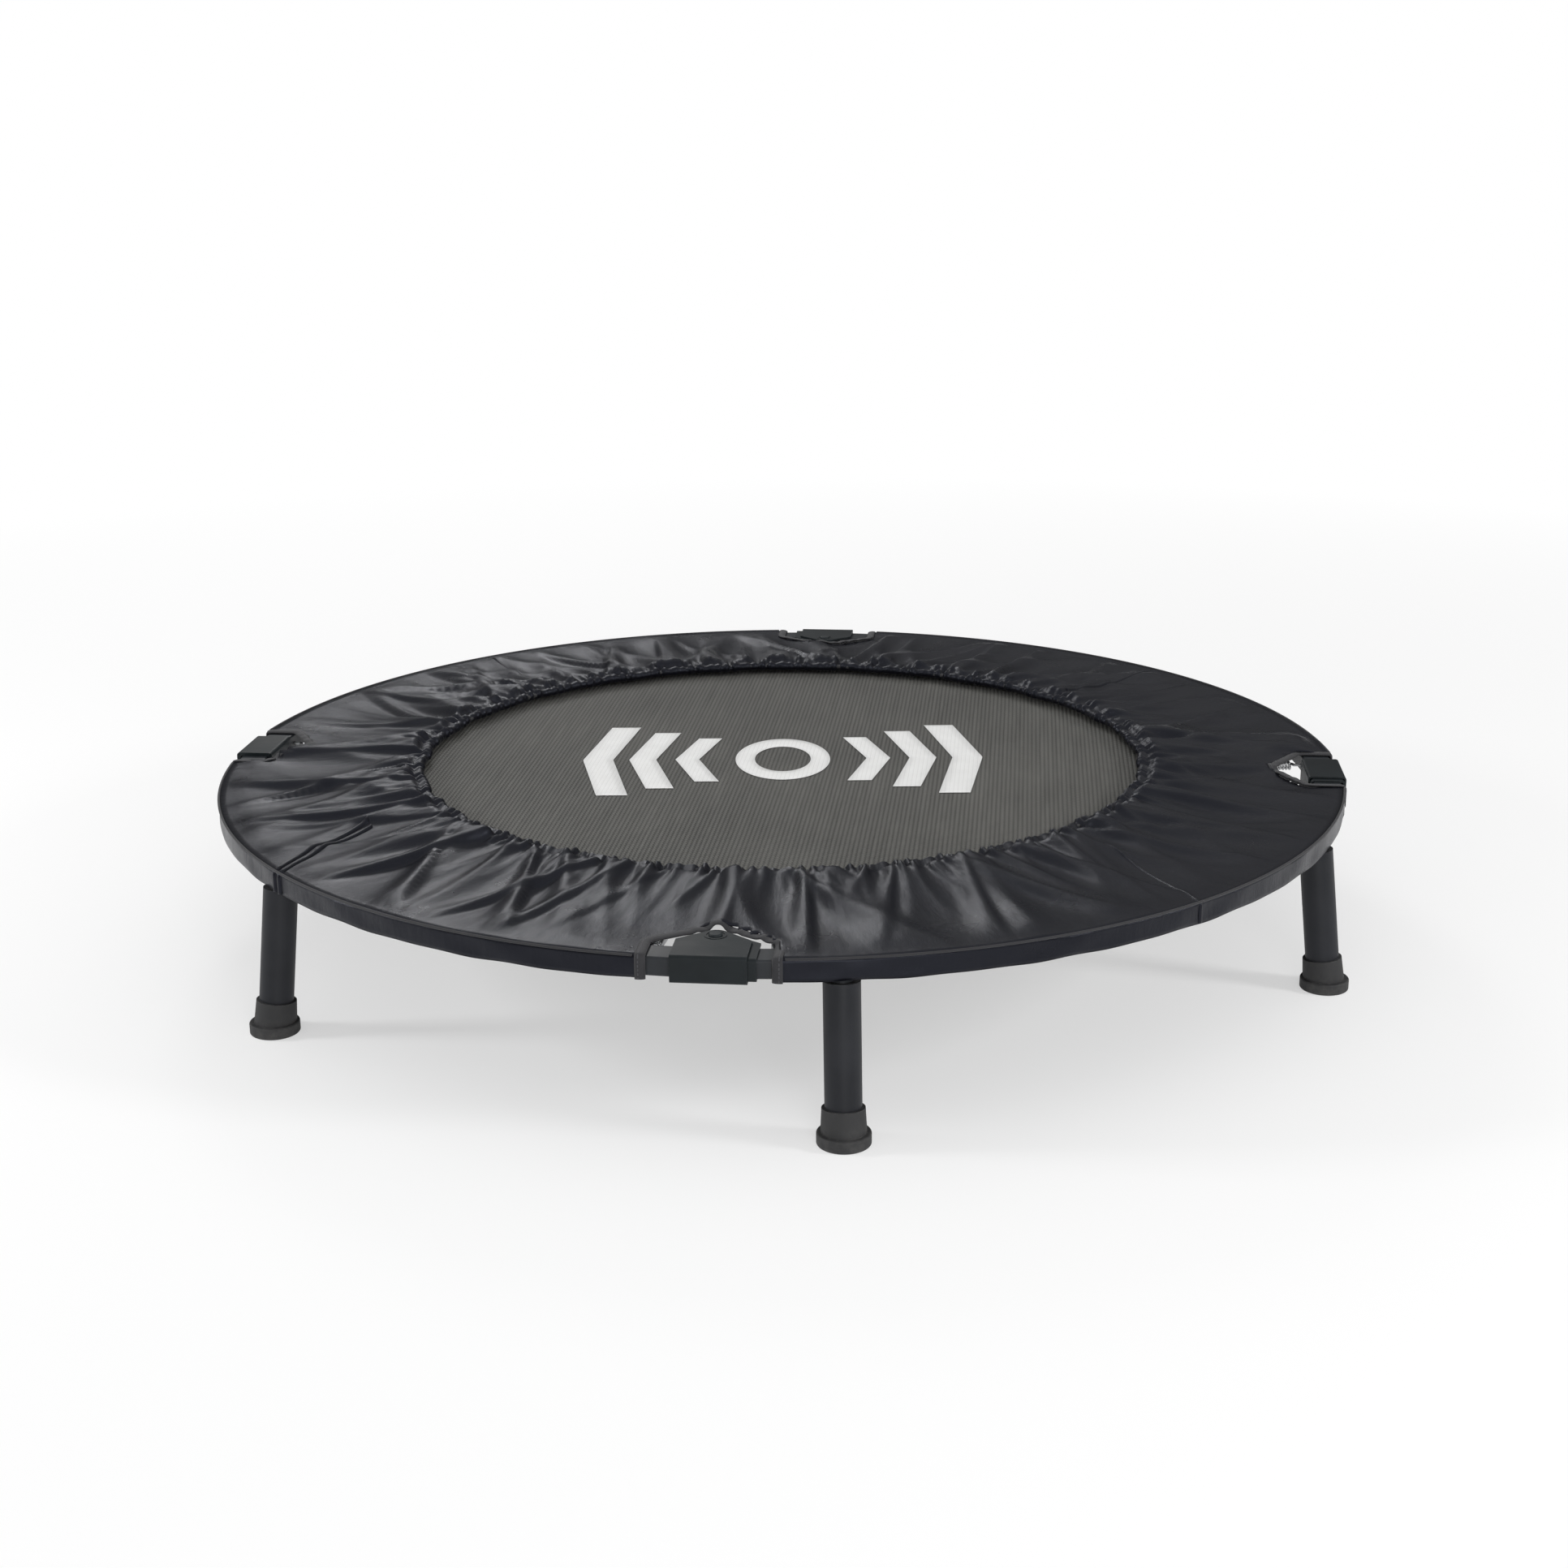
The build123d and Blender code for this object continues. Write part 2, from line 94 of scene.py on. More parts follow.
SPRING_WIRE = 0.0026
HOOK_RADIUS = 0.0035  # of the hook in the tube's wall
BINDING_WIDTH = 0.0068  # of the tape round a cut-out, on each face of the cloth
BINDING_LIFT = 0.0009  # of the tape from the cloth's middle
PIPING_RADIUS = 0.0011
PIPING_CLEAR = 0.0085  # from a cut-out's side to the piping's end
PRINT_LIFT = 0.0006  # clear of the mat
MAT_RINGS = 84
MAT_COLUMNS = 320

# The cover's seams: name, azimuth at the rim, and lean in degrees for each metre in from the rim
SEAMS = (("front_right", 45.0, 40.0), ("rear_right", 135.0, -25.0), ("rear_left", 225.0, 30.0))
LAP_AZIMUTH = -46.4  # where the cover's two ends lap
LAP_SLANT = -79.0
LAP_LENGTH = 0.11  # of the lapped ends, in from the rim
LAP_SHIFT = 0.0042  # of each lapped edge from the lap's middle
LAP_WIDTH = 0.0060
LAP_LIFT = 0.0022
SEAM_STOP = 0.02  # from the elastic out to each seam's inner end
SEAM_WIDTH = 0.0045
SEAM_LIFT = 0.0010
PRINT_TURN = 6.1  # degrees that the printed ring is turned on the mat

# The cover's folds: how many, height, width at the elastic, growth of the width outwards,
# shortest and longest length, spread of the slants
FOLD_KINDS = (
    (150, 0.0036, 0.0030, 0.020, 0.015, 0.055, 0.12),
    (104, 0.0068, 0.0042, 0.034, 0.05, 0.13, 0.24),
    (62, 0.0105, 0.0060, 0.050, 0.13, 0.26, 0.42),
    (30, 0.0105, 0.0085, 0.060, 0.22, 0.42, 0.60),
)
FOLD_CAP = 0.0118  # the folds' greatest height, reached softly
FOLD_SHARPNESS = 1.45  # 2 is a round ridge, 1 a sharp one
CREASES = 56
CREASE_HEIGHT = 0.0080
COLUMNS = 1200  # round the cover

# Camera, in degrees and metres
CAMERA_LENS = 52.96
CAMERA_DISTANCE = 2.0476
CAMERA_AZIMUTH = 6.11
CAMERA_HEIGHT = 0.752
CAMERA_PITCH = 17.18
CAMERA_TURN = -0.06
CAMERA_ROLL = -0.46


def polar(azimuth, radius):
    """x and y at an azimuth in degrees from -Y and a radius: (r sin a, -r cos a)."""
    a = np.radians(azimuth)
    return radius * np.sin(a), -radius * np.cos(a)


def smooth(x, low, high):
    """A smooth step: 0 below low, 1 above high, and 3t^2 - 2t^3 between."""
    t = np.clip((x - low) / (high - low), 0, 1)
    return t * t * (3 - 2 * t)


# ---------------------------------------------------------------------------------------------
# Camera, light and floor
# ---------------------------------------------------------------------------------------------

def add_camera():
    """The camera stands a little right of the front hinge and looks down across the ring."""
    data = bpy.data.cameras.new("camera")
    data.lens = CAMERA_LENS
    data.sensor_width = 36
    data.clip_start = 0.05
    camera = bpy.data.objects.new("camera", data)
    bpy.context.scene.collection.objects.link(camera)
    turn = np.radians(CAMERA_AZIMUTH)
    place = Vector((CAMERA_DISTANCE * np.sin(turn), -CAMERA_DISTANCE * np.cos(turn), CAMERA_HEIGHT))
    heading = Matrix.Rotation(turn + np.radians(CAMERA_TURN), 4, "Z")
    tilt = Matrix.Rotation(np.radians(90 - CAMERA_PITCH), 4, "X")
    roll = Matrix.Rotation(np.radians(CAMERA_ROLL), 4, "Z")
    camera.matrix_world = Matrix.Translation(place) @ heading @ tilt @ roll
    bpy.context.scene.camera = camera


def add_floor():
    """A plain pale floor that fades, away from the trampoline, into the white surround."""
    bpy.ops.mesh.primitive_plane_add(size=60)
    floor = bpy.context.object
    floor.name = "studio_floor"
    material = bpy.data.materials.new("studio_floor")
    material.use_nodes = True
    n = Nodes(material.node_tree)
    shader = material.node_tree.nodes["Principled BSDF"]
    shader.inputs["Base Color"].default_value = (0.93, 0.93, 0.93, 1)
    shader.inputs["Roughness"].default_value = 0.9
    glow = material.node_tree.nodes.new("ShaderNodeEmission")
    mixer = material.node_tree.nodes.new("ShaderNodeMixShader")
    place = material.node_tree.nodes.new("ShaderNodeTexCoord").outputs["Object"]
    length = material.node_tree.nodes.new("ShaderNodeVectorMath")
    length.operation = "LENGTH"
    link = material.node_tree.links.new
    link(place, length.inputs[0])
    link(n.ramp(length.outputs["Value"], 0.7, 2.4, 0.50, 1.0), mixer.inputs[0])
    link(shader.outputs[0], mixer.inputs[1])
    link(glow.outputs[0], mixer.inputs[2])
    link(mixer.outputs[0], material.node_tree.nodes["Material Output"].inputs["Surface"])
    floor.data.materials.append(material)


def add_light(name, place, size, power):
    """A square soft light that faces the middle of the mat."""
    data = bpy.data.lights.new(name, "AREA")
    data.shape = "SQUARE"
    data.size = size
    data.energy = power
    light = bpy.data.objects.new(name, data)
    bpy.context.scene.collection.objects.link(light)
    light.location = place
    light.rotation_euler = (Vector((0, 0, MAT_TOP)) - Vector(place)).to_track_quat("-Z", "Y").to_euler()


def add_surround():
    """A white surround to the camera; as light it is bright overhead and dim at the horizon."""
    world = bpy.data.worlds.new("studio")
    world.use_nodes = True
    tree = world.node_tree
    n = Nodes(tree)
    rays = tree.nodes.new("ShaderNodeLightPath").outputs["Is Camera Ray"]
    split = tree.nodes.new("ShaderNodeSeparateXYZ")
    tree.links.new(tree.nodes.new("ShaderNodeTexCoord").outputs["Generated"], split.inputs[0])
    overhead = n.ramp(split.outputs["Z"], 0.16, 0.95, 0.03, 0.85)
    strength = n.math("MAXIMUM", rays, overhead)
    tree.nodes["Background"].inputs[0].default_value = (1, 1, 1, 1)
    tree.links.new(strength, tree.nodes["Background"].inputs[1])
    bpy.context.scene.world = world


def add_studio():
    """Soft light from above and behind, a weaker one from the left, and a pale surround."""
    add_surround()
    add_light("back_softbox", (-0.9, 2.4, 1.7), 0.6, 12)
    add_light("left_softbox", (-2.4, -0.5, 1.1), 0.45, 26)
    add_light("right_softbox", (2.6, -0.7, 1.3), 0.5, 30)
    add_light("front_softbox", (0.7, -3.0, 0.8), 1.2, 30)
    bpy.context.scene.view_settings.view_transform = "Standard"


# ---------------------------------------------------------------------------------------------
# Shader groups and materials
# ---------------------------------------------------------------------------------------------

class Nodes:
    """Short ways to add and join shader nodes in one tree."""

    def __init__(self, tree):
        self.tree = tree

    def add(self, kind, **settings):
        node = self.tree.nodes.new(kind)
        for name, value in settings.items():
            setattr(node, name, value)
        return node

    def put(self, socket, value):
        if isinstance(value, bpy.types.NodeSocket):
            self.tree.links.new(value, socket)
        else:
            socket.default_value = value

    def math(self, operation, a, b=0.0, clamp=False):
        node = self.add("ShaderNodeMath", operation=operation, use_clamp=clamp)
        self.put(node.inputs[0], a)
        self.put(node.inputs[1], b)
        return node.outputs[0]

    def noise(self, vector, scale, detail=3.0, roughness=0.55):
        node = self.add("ShaderNodeTexNoise")
        self.put(node.inputs["Vector"], vector)
        self.put(node.inputs["Scale"], scale)
        self.put(node.inputs["Detail"], detail)
        self.put(node.inputs["Roughness"], roughness)
        return node.outputs["Fac"]

    def ramp(self, value, low, high, out_low=0.0, out_high=1.0):
        node = self.add("ShaderNodeMapRange")
        for index, item in enumerate((value, low, high, out_low, out_high)):
            self.put(node.inputs[index], item)
        return node.outputs[0]

    def mix(self, factor, a, b):
        node = self.add("ShaderNodeMix", data_type="RGBA")
        self.put(node.inputs[0], factor)
        self.put(node.inputs[6], a)
        self.put(node.inputs[7], b)
        return node.outputs[2]

    def bump(self, height, strength, distance):
        node = self.add("ShaderNodeBump")
        self.put(node.inputs["Strength"], strength)
        self.put(node.inputs["Distance"], distance)
        self.put(node.inputs["Height"], height)
        return node.outputs["Normal"]

    def group(self, tree, **values):
        node = self.add("ShaderNodeGroup", node_tree=tree)
        for name, value in values.items():
            self.put(node.inputs[name.replace("_", " ")], value)
        return node


def new_group(name, inputs, outputs):
    """An empty node group with named float, colour or vector sockets."""
    tree = bpy.data.node_groups.new(name, "ShaderNodeTree")
    kinds = {"f": "NodeSocketFloat", "c": "NodeSocketColor", "v": "NodeSocketVector"}
    for label, kind, value in inputs:
        socket = tree.interface.new_socket(label, in_out="INPUT", socket_type=kinds[kind])
        if value is not None:
            socket.default_value = value
    for label, kind in outputs:
        tree.interface.new_socket(label, in_out="OUTPUT", socket_type=kinds[kind])
    n = Nodes(tree)
    return n, n.add("NodeGroupInput").outputs, n.add("NodeGroupOutput").inputs


def weave_group():
    """Plain weave: warp and weft ribs that take turns on top, as a height, with thread-to-thread tone."""
    n, given, out = new_group(
        "weave",
        [("Vector", "v", None), ("Across", "f", 1000.0), ("Along", "f", 1000.0), ("Unevenness", "f", 0.3)],
        [("Height", "f"), ("Tone", "f")],
    )
    split = n.add("ShaderNodeSeparateXYZ")
    n.put(split.inputs[0], given["Vector"])
    u = n.math("MULTIPLY", split.outputs[0], given["Across"])
    v = n.math("MULTIPLY", split.outputs[1], given["Along"])
    warp = n.math("ABSOLUTE", n.math("SINE", n.math("MULTIPLY", u, np.pi)))
    weft = n.math("ABSOLUTE", n.math("SINE", n.math("MULTIPLY", v, np.pi)))
    odd = n.math("ADD", n.math("FLOOR", u), n.math("FLOOR", v))
    turn = n.math("MODULO", n.math("ABSOLUTE", odd), 2.0)
    over = n.math("MULTIPLY", warp, turn)
    under = n.math("MULTIPLY", weft, n.math("SUBTRACT", 1.0, turn))
    height = n.math("ADD", over, under)
    cells = n.add("ShaderNodeCombineXYZ")
    n.put(cells.inputs[0], n.math("FLOOR", u))
    n.put(cells.inputs[1], n.math("MULTIPLY", v, 0.02))
    threads = n.noise(cells.outputs[0], 0.9, 2.0)
    tone = n.math("MULTIPLY", n.math("SUBTRACT", threads, 0.5), given["Unevenness"])
    n.put(out["Height"], height)
    n.put(out["Tone"], tone)
    return n.tree


def edge_wear_group():
    """Where a surface turns sharply, broken up by noise: 1 on worn edges, 0 elsewhere."""
    n, given, out = new_group(
        "edge_wear",
        [("Vector", "v", None), ("Radius", "f", 0.001), ("Breakup", "f", 60.0), ("Amount", "f", 0.5)],
        [("Mask", "f")],
    )
    bevel = n.add("ShaderNodeBevel", samples=4)
    n.put(bevel.inputs["Radius"], given["Radius"])
    face = n.add("ShaderNodeNewGeometry")
    dot = n.add("ShaderNodeVectorMath", operation="DOT_PRODUCT")
    n.put(dot.inputs[0], bevel.outputs[0])
    n.put(dot.inputs[1], face.outputs["Normal"])
    sharp = n.ramp(dot.outputs["Value"], 0.995, 0.80)
    patches = n.ramp(n.noise(given["Vector"], given["Breakup"], 5.0, 0.7), 0.45, 0.62)
    n.put(out["Mask"], n.math("MULTIPLY", n.math("MULTIPLY", sharp, patches), given["Amount"], True))
    return n.tree


def grain_group():
    """Fine surface grain at two sizes, as a height and a smudge mask for roughness."""
    n, given, out = new_group(
        "grain",
        [("Vector", "v", None), ("Fine", "f", 900.0), ("Coarse", "f", 25.0)],
        [("Height", "f"), ("Smudge", "f")],
    )
    n.put(out["Height"], n.noise(given["Vector"], given["Fine"], 2.0))
    n.put(out["Smudge"], n.ramp(n.noise(given["Vector"], given["Coarse"], 4.0), 0.35, 0.65))
    return n.tree


def dust_group():
    """Pale dust that gathers low down on the object: stronger near the floor, in soft patches."""
    n, given, out = new_group(
        "dust",
        [("Vector", "v", None), ("Top", "f", 0.02), ("Amount", "f", 0.5)],
        [("Mask", "f")],
    )
    split = n.add("ShaderNodeSeparateXYZ")
    n.put(split.inputs[0], given["Vector"])
    low = n.ramp(split.outputs[2], given["Top"], 0.0)
    patches = n.ramp(n.noise(given["Vector"], 90.0, 6.0, 0.7), 0.42, 0.68)
    n.put(out["Mask"], n.math("MULTIPLY", n.math("MULTIPLY", low, patches), given["Amount"], True))
    return n.tree


def new_material(name, colour, roughness, **constants):
    """A material with plain values on its shader's own sockets.  Returns it, its nodes and shader."""
    material = bpy.data.materials.new(name)
    material.use_nodes = True
    n = Nodes(material.node_tree)
    shader = material.node_tree.nodes["Principled BSDF"]
    shader.inputs["Base Color"].default_value = (*colour, 1)
    shader.inputs["Roughness"].default_value = roughness
    for label, value in constants.items():
        shader.inputs[label.replace("_", " ")].default_value = value
    return material, n, shader.inputs


WEAVE = weave_group()
EDGE_WEAR = edge_wear_group()
GRAIN = grain_group()
DUST = dust_group()


def object_place(n):
    """Object coordinates, in metres."""
    return n.add("ShaderNodeTexCoord").outputs["Object"]


def cloth_place(n):
    """The piece's own map, in metres along the cloth."""
    return n.add("ShaderNodeTexCoord").outputs["UV"]


def cover_nylon():
    """Charcoal nylon with a slight violet cast: fine plain weave, soft sheen, faint tonal mottling."""
    material, n, shader = new_material(
        "cover_nylon", (0.014, 0.014, 0.018), 0.5, Sheen_Weight=0.02, Sheen_Roughness=0.4,
        Specular_IOR_Level=0.27)
    shader["Sheen Tint"].default_value = (0.75, 0.78, 0.95, 1)
    shader["Specular Tint"].default_value = (0.78, 0.82, 1.0, 1)
    place = cloth_place(n)
    weave = n.group(WEAVE, Vector=place, Across=1500.0, Along=1500.0, Unevenness=0.35)
    grain = n.group(GRAIN, Vector=place, Fine=700.0, Coarse=18.0)
    shade = n.math("ADD", n.math("MULTIPLY", grain.outputs["Smudge"], 0.35), weave.outputs["Tone"])
    colour = n.mix(shade, (0.0022, 0.0023, 0.0038, 1), (0.0052, 0.0055, 0.0085, 1))
    n.put(shader["Base Color"], colour)
    n.put(shader["Roughness"], n.ramp(grain.outputs["Smudge"], 0.0, 1.0, 0.27, 0.36))
    height = n.math("ADD", weave.outputs["Height"], n.math("MULTIPLY", grain.outputs["Height"], 2.0))
    stretch = n.add("ShaderNodeMapping")
    n.put(stretch.inputs["Vector"], place)
    stretch.inputs["Scale"].default_value = (1.0, 0.32, 1.0)
    crumple = n.noise(stretch.outputs["Vector"], 75.0, 4.0, 0.6)
    height = n.math("ADD", n.math("MULTIPLY", height, 0.05), crumple)
    n.put(shader["Normal"], n.bump(height, 0.32, 0.0028))
    return material


def binding_tape():
    """Dull black twill tape with two rows of lockstitch along it."""
    material, n, shader = new_material("binding_tape", (0.016, 0.016, 0.019), 0.72, Sheen_Weight=0.1)
    place = cloth_place(n)
    split = n.add("ShaderNodeSeparateXYZ")
    n.put(split.inputs[0], place)
    weave = n.group(WEAVE, Vector=place, Across=1100.0, Along=1100.0, Unevenness=0.3)
    rows = n.math("ABSOLUTE", n.math("SUBTRACT", n.math("ABSOLUTE", split.outputs[1]), 0.0042))
    row = n.ramp(rows, 0.0002, 0.0005, 1.0, 0.0)
    beat = n.math("SINE", n.math("MULTIPLY", split.outputs[0], 2 * np.pi / 0.0032))
    stitch = n.math("MULTIPLY", row, n.ramp(beat, -0.6, -0.2))
    n.put(shader["Base Color"], n.mix(stitch, (0.014, 0.014, 0.017, 1), (0.05, 0.05, 0.058, 1)))
    height = n.math("ADD", n.math("MULTIPLY", weave.outputs["Height"], 0.3), n.math("MULTIPLY", stitch, 2.0))
    n.put(shader["Normal"], n.bump(height, 0.6, 0.0003))
    return material


def mat_mesh():
    """Grey-olive woven polypropylene: strong ribs one way, finer picks the other, slightly glossy, with
    painted shade in the weave's grooves.
    """
    material, n, shader = new_material("mat_mesh", (0.075, 0.074, 0.067), 0.55, Specular_IOR_Level=0.15)
    place = cloth_place(n)
    weave = n.group(WEAVE, Vector=place, Across=260.0, Along=420.0, Unevenness=0.3)
    grain = n.group(GRAIN, Vector=place, Fine=500.0, Coarse=7.0)
    # Painted shade: the colour follows the weave's height, darker in the grooves between threads and lighter
    # on their tops, on top of the threads' own uneven tone and smudges.
    light = n.math("ADD", n.math("MULTIPLY", weave.outputs["Height"], 0.55), weave.outputs["Tone"])
    light = n.math("ADD", light, n.math("MULTIPLY", grain.outputs["Smudge"], 0.12), True)
    n.put(shader["Base Color"], n.mix(light, (0.030, 0.030, 0.028, 1), (0.215, 0.212, 0.197, 1)))
    n.put(shader["Roughness"], n.ramp(grain.outputs["Smudge"], 0.0, 1.0, 0.50, 0.62))
    n.put(shader["Normal"], n.bump(weave.outputs["Height"], 0.85, 0.0009))
    return material


def mat_ink():
    """Matt white screen print that lies in the mat's ribs and is a little worn in patches, with painted shade
    greying it in the weave's grooves.
    """
    material, n, shader = new_material("mat_ink", (0.8, 0.8, 0.79), 0.7)
    place = cloth_place(n)
    weave = n.group(WEAVE, Vector=place, Across=260.0, Along=420.0, Unevenness=0.2)
    grain = n.group(GRAIN, Vector=place, Fine=500.0, Coarse=40.0)
    # Painted shade: greyer where the weave's height is low, in the grooves between ribs. The faint patches
    # added next are wear.
    worn = n.math("MULTIPLY", n.ramp(weave.outputs["Height"], 0.30, 0.05), 0.45)
    worn = n.math("ADD", worn, n.math("MULTIPLY", grain.outputs["Smudge"], 0.08), True)
    n.put(shader["Base Color"], n.mix(worn, (0.84, 0.84, 0.83, 1), (0.35, 0.35, 0.33, 1)))
    n.put(shader["Normal"], n.bump(weave.outputs["Height"], 0.4, 0.0004))
    return material


def webbing():
    """Black polypropylene webbing with coarse ribs, with painted shade in the grooves between them."""
    material, n, shader = new_material("hem_webbing", (0.018, 0.018, 0.02), 0.6, Sheen_Weight=0.1)
    place = cloth_place(n)
    weave = n.group(WEAVE, Vector=place, Across=500.0, Along=900.0, Unevenness=0.4)
    # Painted shade: the colour follows the weave's height, darker in the grooves between ribs and lighter on
    # their tops.
    colour = n.mix(weave.outputs["Height"], (0.010, 0.010, 0.012, 1), (0.028, 0.028, 0.031, 1))
    n.put(shader["Base Color"], colour)
    n.put(shader["Normal"], n.bump(weave.outputs["Height"], 0.6, 0.0005))
    return material


def powder_coat(name, dark, light, roughness, wear):
    """Satin powder coat: orange-peel grain, smudges in the gloss, and bright steel on worn edges."""
    material, n, shader = new_material(name, dark, roughness, Specular_IOR_Level=0.22)
    place = object_place(n)
    grain = n.group(GRAIN, Vector=place, Fine=1400.0, Coarse=22.0)
    worn = n.group(EDGE_WEAR, Vector=place, Radius=0.0008, Breakup=160.0, Amount=wear).outputs["Mask"]
    paint = n.mix(grain.outputs["Smudge"], (*dark, 1), (*light, 1))
    n.put(shader["Base Color"], n.mix(worn, paint, (0.30, 0.31, 0.32, 1)))
    n.put(shader["Metallic"], n.math("MULTIPLY", worn, 0.8))
    n.put(shader["Roughness"], n.ramp(grain.outputs["Smudge"], 0.0, 1.0, roughness - 0.05, roughness + 0.07))
    n.put(shader["Normal"], n.bump(grain.outputs["Height"], 0.18, 0.0002))
    return material


def boot_rubber():
    """Black rubber, dull and a little grey, dusty and scuffed towards the floor."""
    material, n, shader = new_material("boot_rubber", (0.021, 0.021, 0.022), 0.75)
    place = object_place(n)
    grain = n.group(GRAIN, Vector=place, Fine=1200.0, Coarse=60.0)
    dust = n.group(DUST, Vector=place, Top=0.022, Amount=0.5).outputs["Mask"]
    worn = n.group(EDGE_WEAR, Vector=place, Radius=0.0015, Breakup=220.0, Amount=0.55).outputs["Mask"]
    rubber = n.mix(grain.outputs["Smudge"], (0.017, 0.017, 0.018, 1), (0.028, 0.028, 0.029, 1))
    dusty = n.mix(dust, rubber, (0.085, 0.082, 0.078, 1))
    n.put(shader["Base Color"], n.mix(worn, dusty, (0.11, 0.108, 0.105, 1)))
    n.put(shader["Roughness"], n.ramp(grain.outputs["Smudge"], 0.0, 1.0, 0.66, 0.85))
    n.put(shader["Normal"], n.bump(grain.outputs["Height"], 0.3, 0.0003))
    return material


def zinc_steel(name, colour, roughness):
    """Bare zinc-plated steel with a fine scratch grain and dull patches."""
    material, n, shader = new_material(name, colour, roughness, Metallic=1.0)
    place = object_place(n)
    grain = n.group(GRAIN, Vector=place, Fine=2200.0, Coarse=90.0)
    shade = tuple(0.6 * c for c in colour)
    n.put(shader["Base Color"], n.mix(grain.outputs["Smudge"], (*shade, 1), (*colour, 1)))
    n.put(shader["Roughness"], n.ramp(grain.outputs["Smudge"], 0.0, 1.0, roughness - 0.08, roughness + 0.12))
    n.put(shader["Normal"], n.bump(grain.outputs["Height"], 0.12, 0.0001))
    return material


def plug_plastic():
    """Black moulded plastic with a spark-eroded texture."""
    material, n, shader = new_material("plug_plastic", (0.02, 0.02, 0.02), 0.6)
    grain = n.group(GRAIN, Vector=object_place(n), Fine=1500.0, Coarse=60.0)
    colour = n.mix(grain.outputs["Smudge"], (0.016, 0.016, 0.016, 1), (0.026, 0.026, 0.026, 1))
    n.put(shader["Base Color"], colour)
    n.put(shader["Roughness"], n.ramp(grain.outputs["Smudge"], 0.0, 1.0, 0.5, 0.7))
    n.put(shader["Normal"], n.bump(grain.outputs["Height"], 0.25, 0.0002))
    return material


MATERIALS = {
    "frame_paint": powder_coat("frame_paint", (0.018, 0.020, 0.023), (0.026, 0.029, 0.033), 0.42, 0.35),
    "bracket_paint": powder_coat("bracket_paint", (0.005, 0.0075, 0.009), (0.009, 0.013, 0.015), 0.46, 0.15),
    "leg_paint": powder_coat("leg_paint", (0.013, 0.014, 0.017), (0.019, 0.020, 0.024), 0.48, 0.2),
    "rivet_steel": powder_coat("rivet_paint", (0.010, 0.013, 0.015), (0.018, 0.023, 0.026), 0.48, 0.3),
    "spring_steel": zinc_steel("spring_steel", (0.55, 0.56, 0.57), 0.32),
    "boot_rubber": boot_rubber(),
    "plug_plastic": plug_plastic(),
    "mat_mesh": mat_mesh(),
    "mat_ink": mat_ink(),
    "hem_webbing": webbing(),
    "cover_nylon": cover_nylon(),
    "binding_tape": binding_tape(),
    "elastic_cord": webbing(),
}


# ---------------------------------------------------------------------------------------------
# Mesh makers
# ---------------------------------------------------------------------------------------------

def grid_faces(rows, columns, closed_rows=False, closed_columns=False):
    """The four corner numbers of each face of a rows-by-columns grid, wrapping where closed."""
    i = np.arange(rows if closed_rows else rows - 1)
    j = np.arange(columns if closed_columns else columns - 1)
    i, j = (a.ravel() for a in np.meshgrid(i, j, indexing="ij"))
    k = (i + 1) % rows
    m = (j + 1) % columns
    return np.stack([i * columns + j, i * columns + m, k * columns + m, k * columns + j], axis=1)


def new_piece(name, points, faces, material, uv=None, flat=False):
    """A mesh object at the origin, from arrays of points and faces, with its map in metres."""
    used, faces = np.unique(faces, return_inverse=True)
    faces = faces.reshape(-1, 4)
    points = points.reshape(-1, 3)[used]
    mesh = bpy.data.meshes.new(name)
    mesh.vertices.add(len(points))
    mesh.vertices.foreach_set("co", points.astype(np.float32).ravel())
    mesh.loops.add(faces.size)
    mesh.loops.foreach_set("vertex_index", faces.astype(np.int32).ravel())
    mesh.polygons.add(len(faces))
    mesh.polygons.foreach_set("loop_start", np.arange(0, faces.size, 4, dtype=np.int32))
    mesh.update(calc_edges=True)
    mesh.polygons.foreach_set("use_smooth", np.full(len(faces), not flat))
    if uv is not None:
        layer = mesh.uv_layers.new(name="cloth")
        layer.data.foreach_set("uv", uv.reshape(-1, 2)[used][faces.ravel()].astype(np.float32).ravel())
    mesh.validate()
    mesh.update()
    mesh.materials.append(MATERIALS[material])
    piece = bpy.data.objects.new(name, mesh)
    bpy.context.scene.collection.objects.link(piece)
    return piece


def frames_along(path, closed):
    """Unit tangent, side and up at each point of a path; side is tangent x Z, and up is side x tangent."""
    if closed:
        tangent = np.roll(path, -1, axis=0) - np.roll(path, 1, axis=0)
    else:
        tangent = np.gradient(path, axis=0)
    tangent /= np.linalg.norm(tangent, axis=1, keepdims=True)
    side = np.cross(tangent, (0.0, 0.0, 1.0))
    length = np.linalg.norm(side, axis=1, keepdims=True)
    side = np.where(length > 1e-6, side / np.maximum(length, 1e-9), (1.0, 0.0, 0.0))
    return tangent, side, np.cross(side, tangent)


def tube(path, radius, sides, closed=False):
    """A round tube: point (s, t) is path(s) + radius (cos t side(s) + sin t up(s))."""
    _, side, up = frames_along(path, closed)
    t = np.linspace(0, 2 * np.pi, sides, endpoint=False)
    ring = radius * (np.cos(t)[None, :, None] * side[:, None] + np.sin(t)[None, :, None] * up[:, None])
    points = path[:, None] + ring
    if not closed:
        points = np.concatenate([points[:1] * 0 + path[0], points, points[:1] * 0 + path[-1]])
    return points, grid_faces(len(points), sides, closed, True)


def along(path):
    """Distance along a path at each of its points."""
    steps = np.linalg.norm(np.diff(path, axis=0), axis=1)
    return np.concatenate([[0.0], np.cumsum(steps)])


def join(parts):
    """Several (points, faces) pairs as one."""
    faces, start = [], 0
    for points, face in parts:
        faces.append(face + start)
        start += points.reshape(-1, 3).shape[0]
    return np.concatenate([p.reshape(-1, 3) for p, _ in parts]), np.concatenate(faces)


